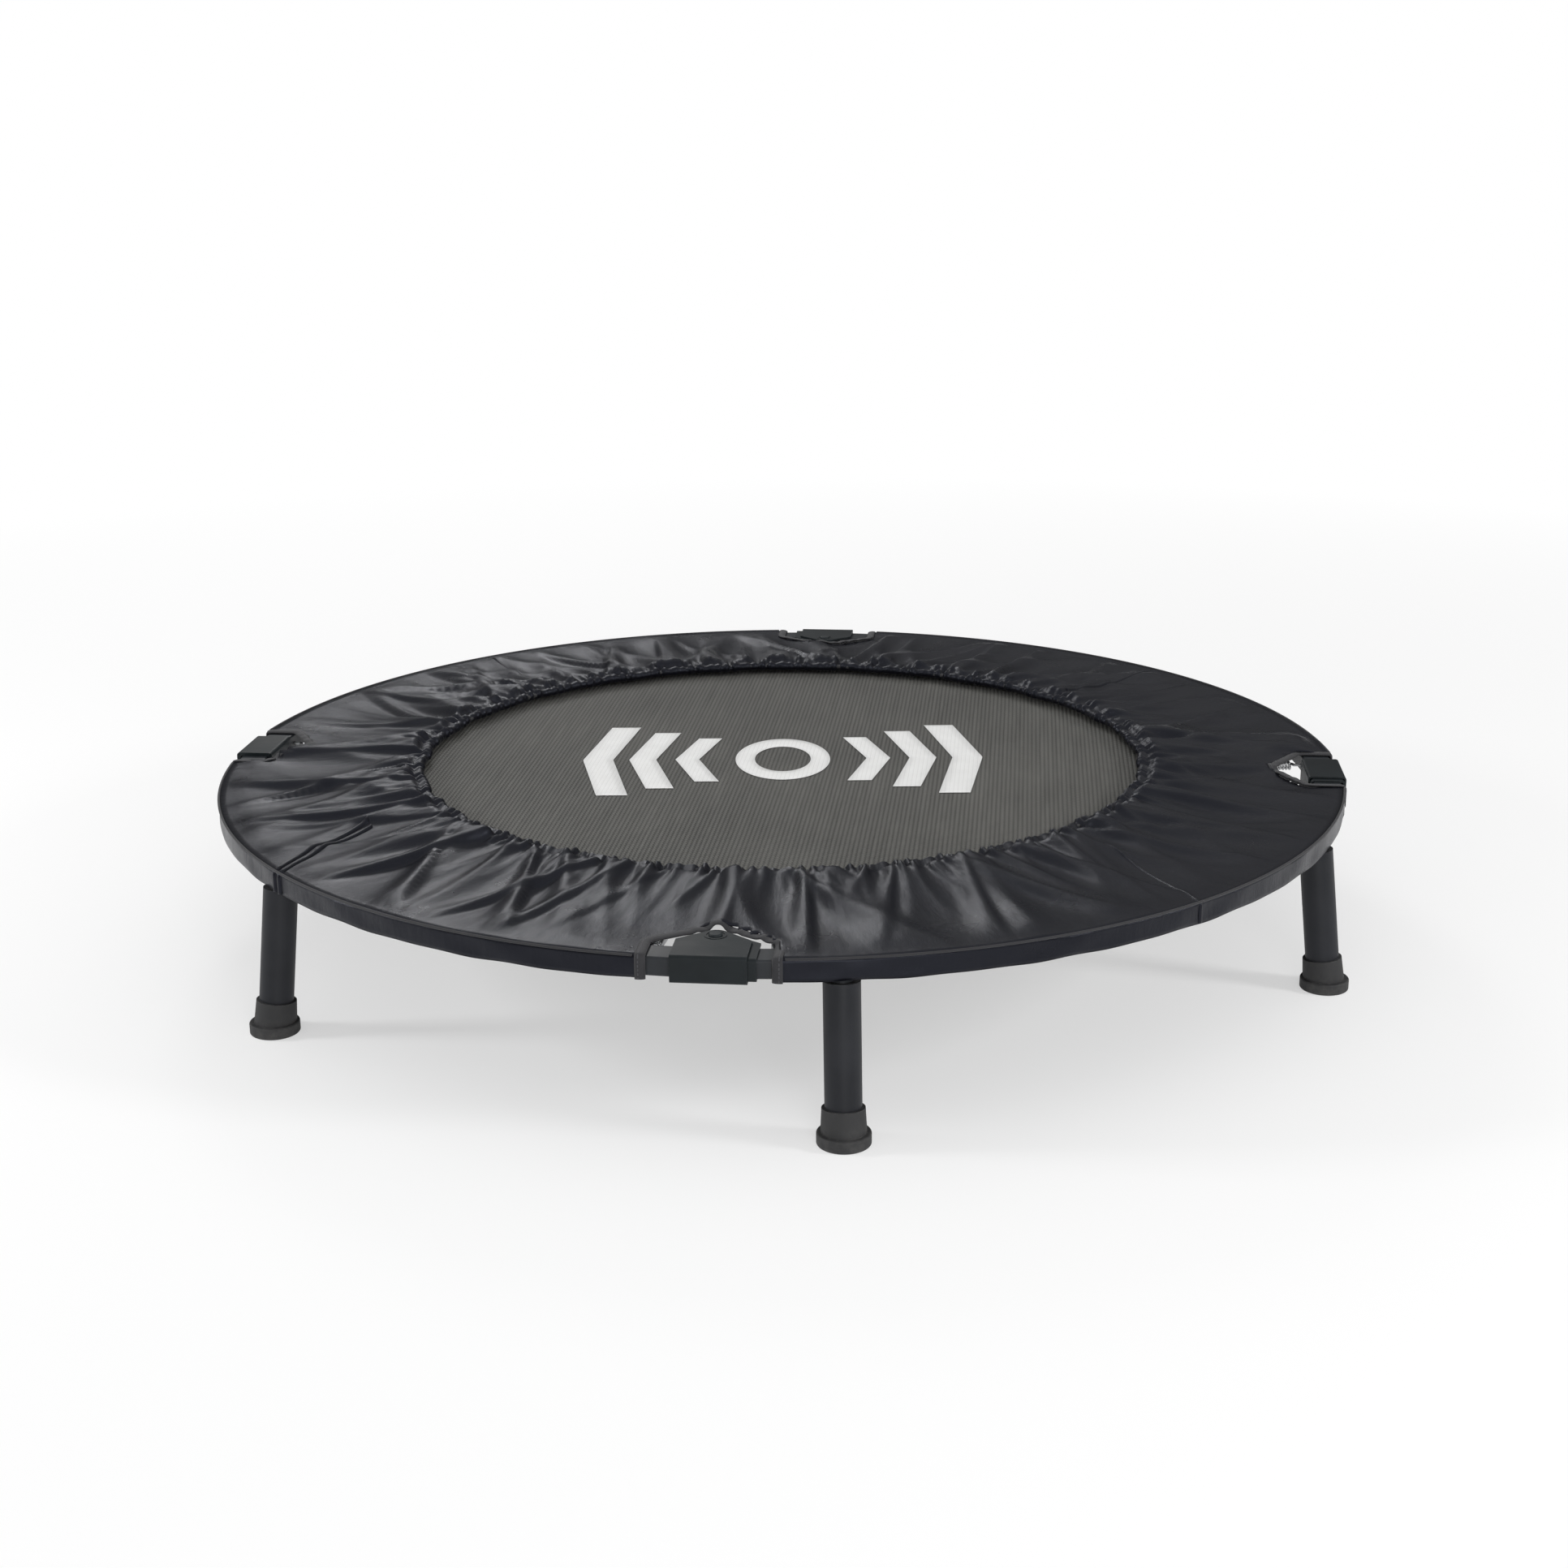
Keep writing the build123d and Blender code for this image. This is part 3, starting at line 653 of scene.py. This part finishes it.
# ---------------------------------------------------------------------------------------------
# Cover
# ---------------------------------------------------------------------------------------------
rng = np.random.default_rng(7)
FRONT, REAR = "front_half", "rear_half"


def turn_between(azimuth, centre):
    """Azimuth less centre, in degrees from -180 to 180."""
    return (azimuth - centre + 180) % 360 - 180


def opening_radius(across):
    """The radius of a cut-out's inner end at a distance across from its middle.

    Round at the crown, then straight lines that touch the crown and run out to the shoulders.
    """
    across = np.abs(across)
    reach = OPENING_SHOULDER - RIVET_RADIUS
    span = np.hypot(OPENING_HALF, reach)
    lean = np.arctan2(reach, OPENING_HALF) + np.arcsin(OPENING_CROWN / span)
    touch = OPENING_CROWN * np.sin(lean)
    crown = RIVET_RADIUS - np.sqrt(np.maximum(OPENING_CROWN**2 - across**2, 0))
    line = OPENING_SHOULDER - np.tan(lean) * (OPENING_HALF - across)
    return np.where(across < touch, crown, line)


def in_opening(azimuth, radius, grow=0.0):
    """True where a point at this azimuth and radius is inside one of the four cut-outs."""
    inside = np.zeros(np.broadcast(azimuth, radius).shape, bool)
    for hinge in HINGES:
        turn = turn_between(azimuth, hinge)
        across = radius * np.sin(np.radians(turn))
        out = radius * np.cos(np.radians(turn))
        near = (np.abs(across) < OPENING_HALF + grow) & (np.abs(turn) < 60)
        inside |= near & (out > opening_radius(across) - grow)
    return inside


def cover_folds(azimuth, travel):
    """Height of the gathered cloth, at each azimuth and distance out from the elastic.

    Each fold is a ridge, height times exp(-|d / w|^sharpness), where d is the distance from the fold's own
    slanting, bowed line and the width w grows outwards; it fades to nothing by its own length.
    """
    height = np.zeros(np.broadcast(azimuth, travel).shape)
    radius = ELASTIC_RADIUS + travel
    for count, tall, wide, growth, short, long, slant in FOLD_KINDS:
        centres = (np.arange(count) + rng.uniform(-0.42, 0.42, count)) * 360.0 / count
        for centre in centres:
            lean = rng.normal(0, slant)
            bow = rng.normal(0, 1.2)
            length = rng.uniform(short, long)
            crest = tall * rng.uniform(0.35, 1.15)
            width = wide * rng.uniform(0.7, 1.4) + growth * travel
            off = np.radians(turn_between(azimuth, centre)) * radius - lean * travel - bow * travel**2
            fade = np.clip(1 - travel / length, 0, 1) ** 1.2
            height += crest * fade * np.exp(-np.abs(off / width) ** FOLD_SHARPNESS)
    return height


def cover_creases(azimuth, travel, reach):
    """Long tension creases, each with a steep side and a gentle side, from the elastic to the rim."""
    height = np.zeros(np.broadcast(azimuth, travel).shape)
    radius = ELASTIC_RADIUS + travel
    pitch = 360.0 / CREASES
    for centre in (np.arange(CREASES) + rng.uniform(-0.45, 0.45, CREASES)) * pitch:
        lean = rng.normal(0, 0.42)
        crest = CREASE_HEIGHT * rng.uniform(0.25, 1.2)
        width = 0.006 + 0.062 * travel * rng.uniform(0.5, 1.4)
        off = np.radians(turn_between(azimuth, centre)) * radius - lean * travel
        side = np.where(off > 0, off / (0.30 * width), off / width)
        swell = np.sin(np.pi * np.clip(travel / (0.98 * reach), 0, 1) ** 0.75)
        height += crest * swell * np.exp(-(side**2))
    return height


def round_the_cover():
    """Azimuths once round the cover from the lap, with the first column repeated at the end."""
    return LAP_AZIMUTH + np.linspace(0, 360, COLUMNS + 1)[None, :]


def cover_cloth(name, azimuth, radius, height):
    """A sheet of the cover from its section at each azimuth, closed at the lap, less the cut-outs."""
    azimuth = azimuth + 0 * radius
    x, y = polar(azimuth, radius)
    points = np.stack([x, y, height], axis=-1)
    steps = np.hypot(np.diff(radius[:, 0]), np.diff(height[:, 0]))
    section = np.concatenate([[0], np.cumsum(steps)])[:, None] + 0 * radius
    uv = np.stack([np.radians(azimuth - LAP_AZIMUTH) * MAP_RADIUS, section], axis=-1)
    faces = grid_faces(*radius.shape)[:, ::-1]
    cut = in_opening(azimuth.ravel(), radius.ravel(), 0.001)
    faces = faces[~cut[faces].any(axis=1)]
    piece = new_piece(name, points, faces, "cover_nylon", uv)
    weld(piece)
    return piece


def make_cover_panel():
    """The gathered top panel: a grid of azimuth by distance along its cross-section.

    The section runs from under the elastic, round its inside as the casing, and out over the
    springs to the rim.  Folds and creases lift it, softly capped, and the casing puckers.
    """
    azimuth = round_the_cover()
    reach = COVER_RADIUS - ELASTIC_RADIUS
    pucker = sum(
        amount * np.sin(np.radians(azimuth) * count + phase)
        for amount, count, phase in ((0.5, 217, 0.3), (0.35, 163, 1.9), (0.3, 271, 4.0), (0.25, 89, 2.2))
    )
    wander = 0.0012 * np.sin(np.radians(azimuth) * 23 + 1.0) + 0.0009 * np.sin(np.radians(azimuth) * 41 + 2.6)
    roll = np.radians(np.linspace(-60, -270, 6))[:, None]
    size = CASING + 0.0013 * pucker
    casing_radius = ELASTIC_RADIUS + wander + size * np.cos(roll)
    casing_height = ELASTIC_HEIGHT + size * np.sin(roll) + 0.0008 * pucker
    near = np.linspace(0.0045, 0.050, 14)
    far = np.linspace(0.057, reach - 0.0006, 19)
    travel = np.concatenate([near, far])[:, None] + np.zeros_like(azimuth)
    folds = cover_folds(azimuth, travel) + cover_creases(azimuth, travel, reach)
    folds = FOLD_CAP * np.tanh(folds / FOLD_CAP)
    start = ELASTIC_HEIGHT + 0.0005
    base = start + (COVER_TOP - start) * smooth(travel, 0, 0.8 * reach)
    dip = 0.0034 * np.sin(np.pi * np.clip(travel / reach, 0, 1)) ** 1.5
    rise = smooth(travel, 0.002, 0.012)
    flatten = 1 - smooth(travel, reach - 0.026, reach - 0.003)
    top = base - dip + folds * rise * (0.10 + 0.90 * flatten)
    top += 0.0024 * pucker * (1 - smooth(travel, 0.004, 0.026))
    top = np.maximum(top, COVER_TOP - 0.0030 * flatten)
    top_radius = ELASTIC_RADIUS + travel + wander * (1 - smooth(travel, 0, 0.03))
    radius = np.concatenate([casing_radius, top_radius])
    height = np.concatenate([casing_height, top])
    return cover_cloth("cover_panel_cloth", azimuth, radius, height)


def make_cover_band():
    """The rim band: a grid of azimuth by distance down the tube's side and in under it."""
    azimuth = round_the_cover()
    slack = 0.0005 * np.sin(np.radians(azimuth) * 37) + 0.0004 * np.sin(np.radians(azimuth) * 59 + 1)
    down = np.linspace(0, 1, 7)[:, None] + np.zeros_like(azimuth)
    side_radius = COVER_RADIUS + slack * np.sin(np.pi * down)
    side_height = COVER_TOP - 0.0002 + (COVER_BOTTOM - COVER_TOP) * down + 0.6 * slack * down
    under = np.linspace(0.15, 1, 4)[:, None] + np.zeros_like(azimuth)
    under_height = COVER_BOTTOM + 0.6 * slack + 0.0003 * under
    radius = np.concatenate([side_radius, COVER_RADIUS - TUCK * under])
    height = np.concatenate([side_height, under_height])
    return cover_cloth("cover_band_cloth", azimuth, radius, height)


def finish_cloth(piece, thickness, offset):
    """Gives a sheet its thickness as a closed shell."""
    shell = piece.modifiers.new("thickness", "SOLIDIFY")
    shell.thickness = thickness
    shell.offset = offset
    apply_modifiers(piece)


def apply_modifiers(piece):
    """Makes a piece's modifiers part of its mesh."""
    bpy.context.view_layer.update()
    graph = bpy.context.evaluated_depsgraph_get()
    mesh = bpy.data.meshes.new_from_object(piece.evaluated_get(graph))
    piece.modifiers.clear()
    piece.data = mesh


def over_fold(piece):
    """For fabric that lies across the fold line between the rear half and the front half: bakes its placement
    into its mesh.
    """
    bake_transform(piece)


def half_of(azimuth):
    """The body that an azimuth's side of the ring belongs to."""
    return FRONT if abs(turn_between(azimuth, 0)) < 90 else REAR


# ---------------------------------------------------------------------------------------------
# Bindings and piping
# ---------------------------------------------------------------------------------------------

def opening_outline(steps=60):
    """Across and out along a cut-out's edge on the top panel, from one rim corner to the other."""
    across = np.linspace(-OPENING_HALF, OPENING_HALF, steps)
    out = opening_radius(across)
    rim = np.sqrt(COVER_RADIUS**2 - OPENING_HALF**2)
    side = np.linspace(rim, OPENING_SHOULDER, 12, endpoint=False)
    across = np.concatenate([np.full(12, -OPENING_HALF), across, np.full(12, OPENING_HALF)])
    return across, np.concatenate([side, out, side[::-1]])


def rounded(path, passes=3):
    """A path with its corners softened: each pass moves inner points halfway to their neighbours' middle."""
    for _ in range(passes):
        path[1:-1] = 0.5 * path[1:-1] + 0.25 * (path[:-2] + path[2:])
    return path


def cover_surface_height(tree, x, y):
    """The height of the cover's upper face above a point, found by looking straight down."""
    hit, _, _, _ = tree.ray_cast(Vector((x, y, 0.3)), Vector((0, 0, -1)))
    return hit.z if hit is not None else COVER_TOP


def make_binding(hinge, tree):
    """The tape sewn round one cut-out: a flat U section carried along the cut-out's edge.

    The path goes up the band, in along one side, round the crown, out and down again.
    """
    across, out = opening_outline()
    turn = np.radians(hinge)
    x = across * np.cos(turn) + out * np.sin(turn)
    y = across * np.sin(turn) - out * np.cos(turn)
    z = np.array([
        cover_surface_height(tree, a * np.cos(turn) + (b - 0.003) * np.sin(turn),
                             a * np.sin(turn) - (b - 0.003) * np.cos(turn))
        for a, b in zip(across, out)
    ])
    z = np.clip(z, COVER_TOP - 0.002, COVER_TOP + 0.005)
    z[:14] = COVER_TOP
    z[-14:] = COVER_TOP
    top = np.stack([x, y, z], axis=1)
    fall = np.linspace(COVER_BOTTOM - 0.0006, COVER_TOP - 0.0012, 8)[:, None]
    first = np.concatenate([np.repeat(top[:1, :2], 8, axis=0), fall], axis=1)
    last = np.concatenate([np.repeat(top[-1:, :2], 8, axis=0), fall[::-1]], axis=1)
    path = rounded(np.concatenate([first, top, last]), 2)
    middle = np.array([RIVET_RADIUS * np.sin(turn), -RIVET_RADIUS * np.cos(turn)])
    outward = np.array([np.sin(turn), -np.cos(turn)])
    sideways = np.array([np.cos(turn), np.sin(turn)])
    # into the cloth: away from the opening, along the surface
    tangent = np.gradient(path, axis=0)
    tangent /= np.linalg.norm(tangent, axis=1, keepdims=True)
    level = np.stack([tangent[:, 1], -tangent[:, 0]], axis=1)
    count = len(path)
    away = np.sign(across)[:, None] * sideways
    away = np.concatenate([np.repeat(away[:1], 8, axis=0), away, np.repeat(away[-1:], 8, axis=0)])
    flat_tangent = np.linalg.norm(level, axis=1) > 0.5
    level /= np.maximum(np.linalg.norm(level, axis=1, keepdims=True), 1e-6)
    inward = path[:, :2] - (middle + outward * 0.02)
    level *= np.sign((level * inward).sum(axis=1))[:, None]
    into = np.where(flat_tangent[:, None], level, away)
    into = np.concatenate([into, np.zeros((count, 1))], axis=1)
    for _ in range(6):
        into[1:-1] = 0.5 * into[1:-1] + 0.25 * (into[:-2] + into[2:])
    into /= np.linalg.norm(into, axis=1, keepdims=True)
    normal = np.cross(tangent, into)
    normal /= np.linalg.norm(normal, axis=1, keepdims=True)
    normal *= np.sign(normal[count // 2, 2])
    width, lift = BINDING_WIDTH, BINDING_LIFT
    depth = np.concatenate([np.linspace(width, 0.001, 5), [0.0, -0.0009, 0.0], np.linspace(0.001, width, 5)])
    level_up = np.concatenate([np.full(5, lift), [0.6 * lift, 0, -0.6 * lift], np.full(5, -lift)])
    puff = np.concatenate([0.0004 * np.sin(np.linspace(0, np.pi, 5)), np.zeros(8)])
    points = path[:, None] + depth[None, :, None] * into[:, None]
    points = points + (level_up + puff)[None, :, None] * normal[:, None]
    lengths = along(path)
    uv = np.stack(np.meshgrid(lengths, depth, indexing="ij"), axis=-1)
    name = {0.0: "front", 90.0: "right", 180.0: "rear", 270.0: "left"}[hinge]
    tape = new_piece(f"cover_binding_{name}", points, grid_faces(len(path), len(depth)), "binding_tape", uv)
    finish_cloth(tape, 0.0005, 0)
    if hinge in (90.0, 270.0):
        over_fold(tape)
    else:
        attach(tape, half_of(hinge))
    return tape


def strip_on_cover(name, azimuth, slant, inner, shift, width, lift, tree):
    """A crowned strip of cloth laid on the cover: up the rim band, then in along a slanting line.

    Its middle line keeps a sideways shift from the line azimuth + slant * distance from the rim;
    across, it is a low arch, lift * (1 - (2 c / width)^2), whose edges sink just into the cover.
    """
    rise = np.linspace(COVER_BOTTOM, COVER_TOP - 0.0012, 9)
    radius = np.linspace(COVER_RADIUS - 0.0012, inner, 60)
    turn = np.radians(azimuth + slant * (COVER_RADIUS - radius)) + shift / radius
    turn = np.concatenate([np.full(9, turn[0]), turn])
    out = np.concatenate([np.full(9, COVER_RADIUS + 0.0002), radius])
    c = np.linspace(-0.5, 0.5, 9) * width
    a = turn[:, None] + c[None, :] / out[:, None]
    x, y = out[:, None] * np.sin(a), -out[:, None] * np.cos(a)
    arch = lift * (1 - (2 * c / width) ** 2) - 0.0003
    z = np.array([cover_surface_height(tree, px, py) for px, py in zip(x.ravel(), y.ravel())])
    z = z.reshape(x.shape) + arch
    z[:9] = rise[:, None]
    stand = 1 + arch[None, :] / COVER_RADIUS * (np.arange(len(out)) < 10)[:, None]
    points = np.stack([x * stand, y * stand, z], axis=-1)
    for _ in range(2):
        points[8:12] = 0.5 * points[8:12] + 0.25 * (points[7:11] + points[9:13])
    lengths = along(points[:, 4])
    uv = np.stack(np.meshgrid(lengths, c, indexing="ij"), axis=-1)
    strip = new_piece(name, points, grid_faces(*x.shape), "cover_nylon", uv)
    upright(strip)
    finish_cloth(strip, 0.0004, -1)
    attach(strip, half_of(azimuth))


def make_seams(tree):
    """The seams that join the cover's four panels, and the lapped ends beside the front left leg."""
    for name, azimuth, slant in SEAMS:
        strip_on_cover(
            f"cover_seam_{name}", azimuth, slant, ELASTIC_RADIUS + SEAM_STOP, 0.0,
            SEAM_WIDTH, SEAM_LIFT, tree)
    for name, shift in (("upper", LAP_SHIFT), ("lower", -LAP_SHIFT)):
        strip_on_cover(
            f"cover_lap_{name}", LAP_AZIMUTH, LAP_SLANT, COVER_RADIUS - LAP_LENGTH, shift,
            LAP_WIDTH, LAP_LIFT, tree)


def make_piping():
    """Four lengths of piping along the rim's top edge, one between each two cut-outs."""
    clear = np.degrees(np.arcsin((OPENING_HALF + PIPING_CLEAR) / COVER_RADIUS))
    names = ("front_right", "rear_right", "rear_left", "front_left")
    for name, start in zip(names, HINGES):
        azimuth = np.linspace(start + clear, start + 90 - clear, 150)
        x, y = polar(azimuth, COVER_RADIUS - 0.0001)
        path = np.stack([x, y, np.full_like(x, COVER_TOP - 0.0001)], axis=1)
        points, faces = tube(path, PIPING_RADIUS, 8)
        lengths = np.arange(len(points)) * 0.005
        uv = np.stack(np.meshgrid(lengths, np.arange(8) * 0.001, indexing="ij"), axis=-1)
        piping = new_piece(f"cover_piping_{name}", points, faces, "binding_tape", uv)
        weld(piping)
        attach(piping, half_of(start + 45))


# ---------------------------------------------------------------------------------------------
# Mat, print, hem, links and springs
# ---------------------------------------------------------------------------------------------

def disc_points(radii, columns, height):
    """Rings of points round the middle, one ring for each radius."""
    azimuth = np.linspace(0, 360, columns, endpoint=False)[None, :]
    radius = np.asarray(radii)[:, None]
    x, y = polar(azimuth + 0 * radius, radius + 0 * azimuth)
    return np.stack([x, y, height + 0 * x], axis=-1)


def make_mat():
    """The jumping mat: rings of points from the middle out, on its top face, round its edge, and back."""
    radii = np.concatenate([[0.0], np.linspace(0.012, MAT_RADIUS, MAT_RINGS)])
    top = disc_points(radii, MAT_COLUMNS, MAT_TOP)
    top[:, :, 2] -= 0.0008 * (1 - (radii / MAT_RADIUS) ** 2)[:, None]
    bottom = top[::-1].copy()
    bottom[:, :, 2] -= MAT_THICKNESS
    points = np.concatenate([top, bottom])
    uv = points[..., :2].copy()
    faces = grid_faces(len(points), MAT_COLUMNS, False, True)[:, ::-1]
    mat = new_piece("mat_cloth", points, faces, "mat_mesh", uv)
    weld(mat)
    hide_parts("mat_front", "mat_rear")
    over_fold(mat)
    return mat


def weld(piece):
    """Merges points that lie together, such as a grid's pole, and turns every face outwards."""
    mesh = bmesh.new()
    mesh.from_mesh(piece.data)
    bmesh.ops.remove_doubles(mesh, verts=mesh.verts, dist=1e-6)
    bmesh.ops.dissolve_degenerate(mesh, dist=1e-7, edges=mesh.edges)
    bmesh.ops.recalc_face_normals(mesh, faces=mesh.faces)
    mesh.to_mesh(piece.data)
    mesh.free()


def band_between(lower, upper, steps):
    """A flat strip between two lines of points, as a grid."""
    t = np.linspace(0, 1, steps)[None, :, None]
    return lower[:, None] * (1 - t) + upper[:, None] * t


def make_print():
    """A plain white mark on the mat: a ring in the middle and three chevrons each side that grow outwards."""
    height = MAT_TOP + PRINT_LIFT
    parts, maps = [], []
    t = np.linspace(0, 2 * np.pi, 97)
    inner = np.stack([0.026 * np.cos(t), 0.040 * np.sin(t)], axis=1)
    outer = np.stack([0.044 * np.cos(t), 0.066 * np.sin(t)], axis=1)
    strips = [band_between(inner, outer, 4)]
    for side in (-1, 1):
        for number in range(3):
            tall = 0.070 + 0.020 * number
            foot = 0.058 + 0.040 * number
            s = np.linspace(-1, 1, 49)
            lean = 0.020 * (1 - np.abs(s))
            lower = np.stack([side * (foot + lean), tall * s], axis=1)
            upper = np.stack([side * (foot + lean + 0.022 + 0.003 * number), tall * s], axis=1)
            strips.append(band_between(lower, upper, 4))
    turn = np.radians(PRINT_TURN)
    spin = np.array([[np.cos(turn), -np.sin(turn)], [np.sin(turn), np.cos(turn)]])
    for strip in strips:
        flat = strip @ spin.T + np.array([0.0, 0.012])
        radius = np.linalg.norm(flat, axis=-1)
        sag = 0.0008 * (1 - (radius / MAT_RADIUS) ** 2)
        points = np.concatenate([flat, (height - sag)[..., None]], axis=-1)
        parts.append((points, grid_faces(*flat.shape[:2])))
        maps.append(flat.reshape(-1, 2))
    points, faces = join(parts)
    mark = new_piece("mat_print", points, faces, "mat_ink", np.concatenate(maps))
    weld(mark)
    upright(mark)
    finish_cloth(mark, 0.0002, 1)
    over_fold(mark)


def upright(piece):
    """Turns a flat piece's faces to point up."""
    mesh = piece.data
    if sum(p.normal.z for p in mesh.polygons) < 0:
        mesh.flip_normals()


def make_hem():
    """The webbing round the mat's underside: a closed rectangular section turned about the middle."""
    inner = MAT_RADIUS - 0.026
    low, high = HEM_LOW[2], HEM_HIGH[2]
    section = [(inner, high), (MAT_RADIUS, high), (MAT_RADIUS, low), (inner, low)]
    steps = 8
    corners = np.array(section + section[:1])
    t = np.linspace(0, 1, steps, endpoint=False)[None, :, None]
    outline = (corners[:-1, None] * (1 - t) + corners[1:, None] * t).reshape(-1, 2)
    azimuth = np.linspace(0, 360, 240, endpoint=False)[None, :]
    x, y = polar(azimuth + 0 * outline[:, :1], outline[:, :1] + 0 * azimuth)
    points = np.stack([x, y, outline[:, 1:] + 0 * x], axis=-1)
    lengths = np.arange(len(outline)) * 0.0035
    uv = np.stack([np.radians(azimuth) * MAT_RADIUS + 0 * x, lengths[:, None] + 0 * x], axis=-1)
    hem = new_piece("mat_hem_webbing", points, grid_faces(len(outline), 240, True, True), "hem_webbing", uv)
    weld(hem)
    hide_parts("mat_hem_front", "mat_hem_rear")
    over_fold(hem)


def make_elastic():
    """The elastic cord in the cover's inner hem: a closed ring of round section."""
    azimuth = np.linspace(0, 360, 300, endpoint=False)
    x, y = polar(azimuth, ELASTIC_RADIUS)
    path = np.stack([x, y, np.full_like(x, ELASTIC_HEIGHT)], axis=1)
    points, faces = tube(path, ELASTIC_THICKNESS / 2, 10, closed=True)
    uv = np.stack(np.meshgrid(np.arange(300) * 0.007, np.arange(10) * 0.0012, indexing="ij"), axis=-1)
    cord = new_piece("cover_elastic_cord", points, faces, "elastic_cord", uv)
    weld(cord)
    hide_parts("cover_elastic_front", "cover_elastic_rear")
    over_fold(cord)


def placed(points, azimuth):
    """Points made at the front, turned to an azimuth: a turn about Z."""
    a = np.radians(azimuth)
    spin = np.array([[np.cos(a), np.sin(a), 0], [-np.sin(a), np.cos(a), 0], [0, 0, 1]])
    return points @ spin


def spring_path():
    """One spring at the front, as the centre line of its wire.

    The coil is a helix along the radius, radius(t) outward and (R cos, R sin) across it; its ends
    close in on the axis, and a hook curls from each end.
    """
    wire = SPRING_WIRE
    middle = (SPRING_LOW[2] + SPRING_HIGH[2]) / 2
    coil = (SPRING_HIGH[2] - SPRING_LOW[2]) / 2 - wire / 2
    start = MAT_RADIUS + 0.0165
    end = ARC_HOLE - 0.010
    turns = int((end - start) / (1.15 * wire))
    t = np.linspace(0, 1, turns * 12 + 1)
    angle = 2 * np.pi * turns * t
    outward = start + (end - start) * t
    body = np.stack([coil * np.cos(angle), -outward, middle + coil * np.sin(angle)], axis=1)
    bend = np.linspace(0, np.pi, 9)
    lead = np.stack([coil * np.cos(bend / 2), -(end + 0.003 * np.sin(bend / 2)), middle + 0 * bend], axis=1)
    out = np.linspace(end + 0.004, ARC_HOLE + 0.004, 6)
    straight = np.stack([0 * out, -out, middle + 0 * out], axis=1)
    curl = np.linspace(0, np.pi * 1.2, 8)
    hook_y = -(ARC_HOLE + 0.004 + HOOK_RADIUS * np.sin(curl))
    hook = np.stack([0 * curl, hook_y, middle + HOOK_RADIUS * (1 - np.cos(curl))], axis=1)
    back = np.linspace(0, np.pi * 1.35, 12)
    small = 0.0042
    tail_y = -(LINK_POINT + 0.0005 + small * np.cos(np.pi - back))
    tail = np.stack([0 * back, tail_y, middle - 0.0005 + small * np.sin(back) * 0.9], axis=1)[::-1]
    join_y = -(start - 0.002 * np.cos(bend / 2))
    join_in = np.stack([coil * np.sin(bend / 2), join_y, middle + 0 * bend], axis=1)
    return np.concatenate([tail, join_in, body[1:], lead[1:], straight, hook[1:]]), wire / 2


def half_azimuths(start):
    """The azimuths of the springs on the half that starts at this azimuth."""
    pitch = 180.0 / SPRINGS_PER_HALF
    return start + pitch * (np.arange(SPRINGS_PER_HALF) + 0.5)


def make_springs():
    """The coil springs of each half, as one piece of wire turns for each half."""
    path, radius = spring_path()
    points, faces = tube(path, radius, 6)
    for name, start in (("front", -90.0), ("rear", 90.0)):
        copies = [(placed(points, azimuth), faces) for azimuth in half_azimuths(start)]
        springs = new_piece(f"springs_{name}_coils", *join(copies), "spring_steel")
        weld(springs)
        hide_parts(f"springs_{name}")
        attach(springs, FRONT if name == "front" else REAR)


def link_path():
    """A triangular link's wire at the front: three straight sides with rounded corners, closed."""
    half, inner, point = 0.013, MAT_RADIUS - 0.010, LINK_POINT
    height = (LINK_LOW[2] + LINK_HIGH[2]) / 2
    corners = np.array([(-half, -inner), (half, -inner), (0.0, -point)])
    t = np.linspace(0, 1, 10, endpoint=False)[None, :, None]
    sides = corners[:, None] * (1 - t) + np.roll(corners, -1, axis=0)[:, None] * t
    flat = sides.reshape(-1, 2)
    for _ in range(3):
        flat = 0.5 * flat + 0.25 * (np.roll(flat, 1, axis=0) + np.roll(flat, -1, axis=0))
    return np.concatenate([flat, np.full((len(flat), 1), height)], axis=1)


def make_links():
    """The wire links of each half."""
    points, faces = tube(link_path(), LINK_WIRE / 2, 8, closed=True)
    for name, start in (("front", -90.0), ("rear", 90.0)):
        copies = [(placed(points, azimuth), faces) for azimuth in half_azimuths(start)]
        links = new_piece(f"mat_links_{name}_wire", *join(copies), "spring_steel")
        weld(links)
        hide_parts(f"mat_links_{name}")
        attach(links, FRONT if name == "front" else REAR)


# ---------------------------------------------------------------------------------------------
# The whole trampoline
# ---------------------------------------------------------------------------------------------
add_camera()
add_floor()
add_studio()

slots = {part["node"]: part["material_slot"] for part in frame["record"]["subparts"]}
for name, node in frame["nodes"].items():
    for index in range(len(node.material_slots)):
        node.material_slots[index].material = MATERIALS[slots[name]]

make_springs()
make_links()
make_mat()
make_hem()
make_print()
make_elastic()

panel = make_cover_panel()
band = make_cover_band()
bpy.context.view_layer.update()
surface = BVHTree.FromObject(panel, bpy.context.evaluated_depsgraph_get())
for hinge in HINGES:
    make_binding(hinge, surface)
make_seams(surface)
for piece, prefix in ((panel, "cover_panel"), (band, "cover_band")):
    finish_cloth(piece, CLOTH, -1)
    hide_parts(*[name for name in COVER_NODES if name.startswith(prefix)])
    over_fold(piece)
make_piping()
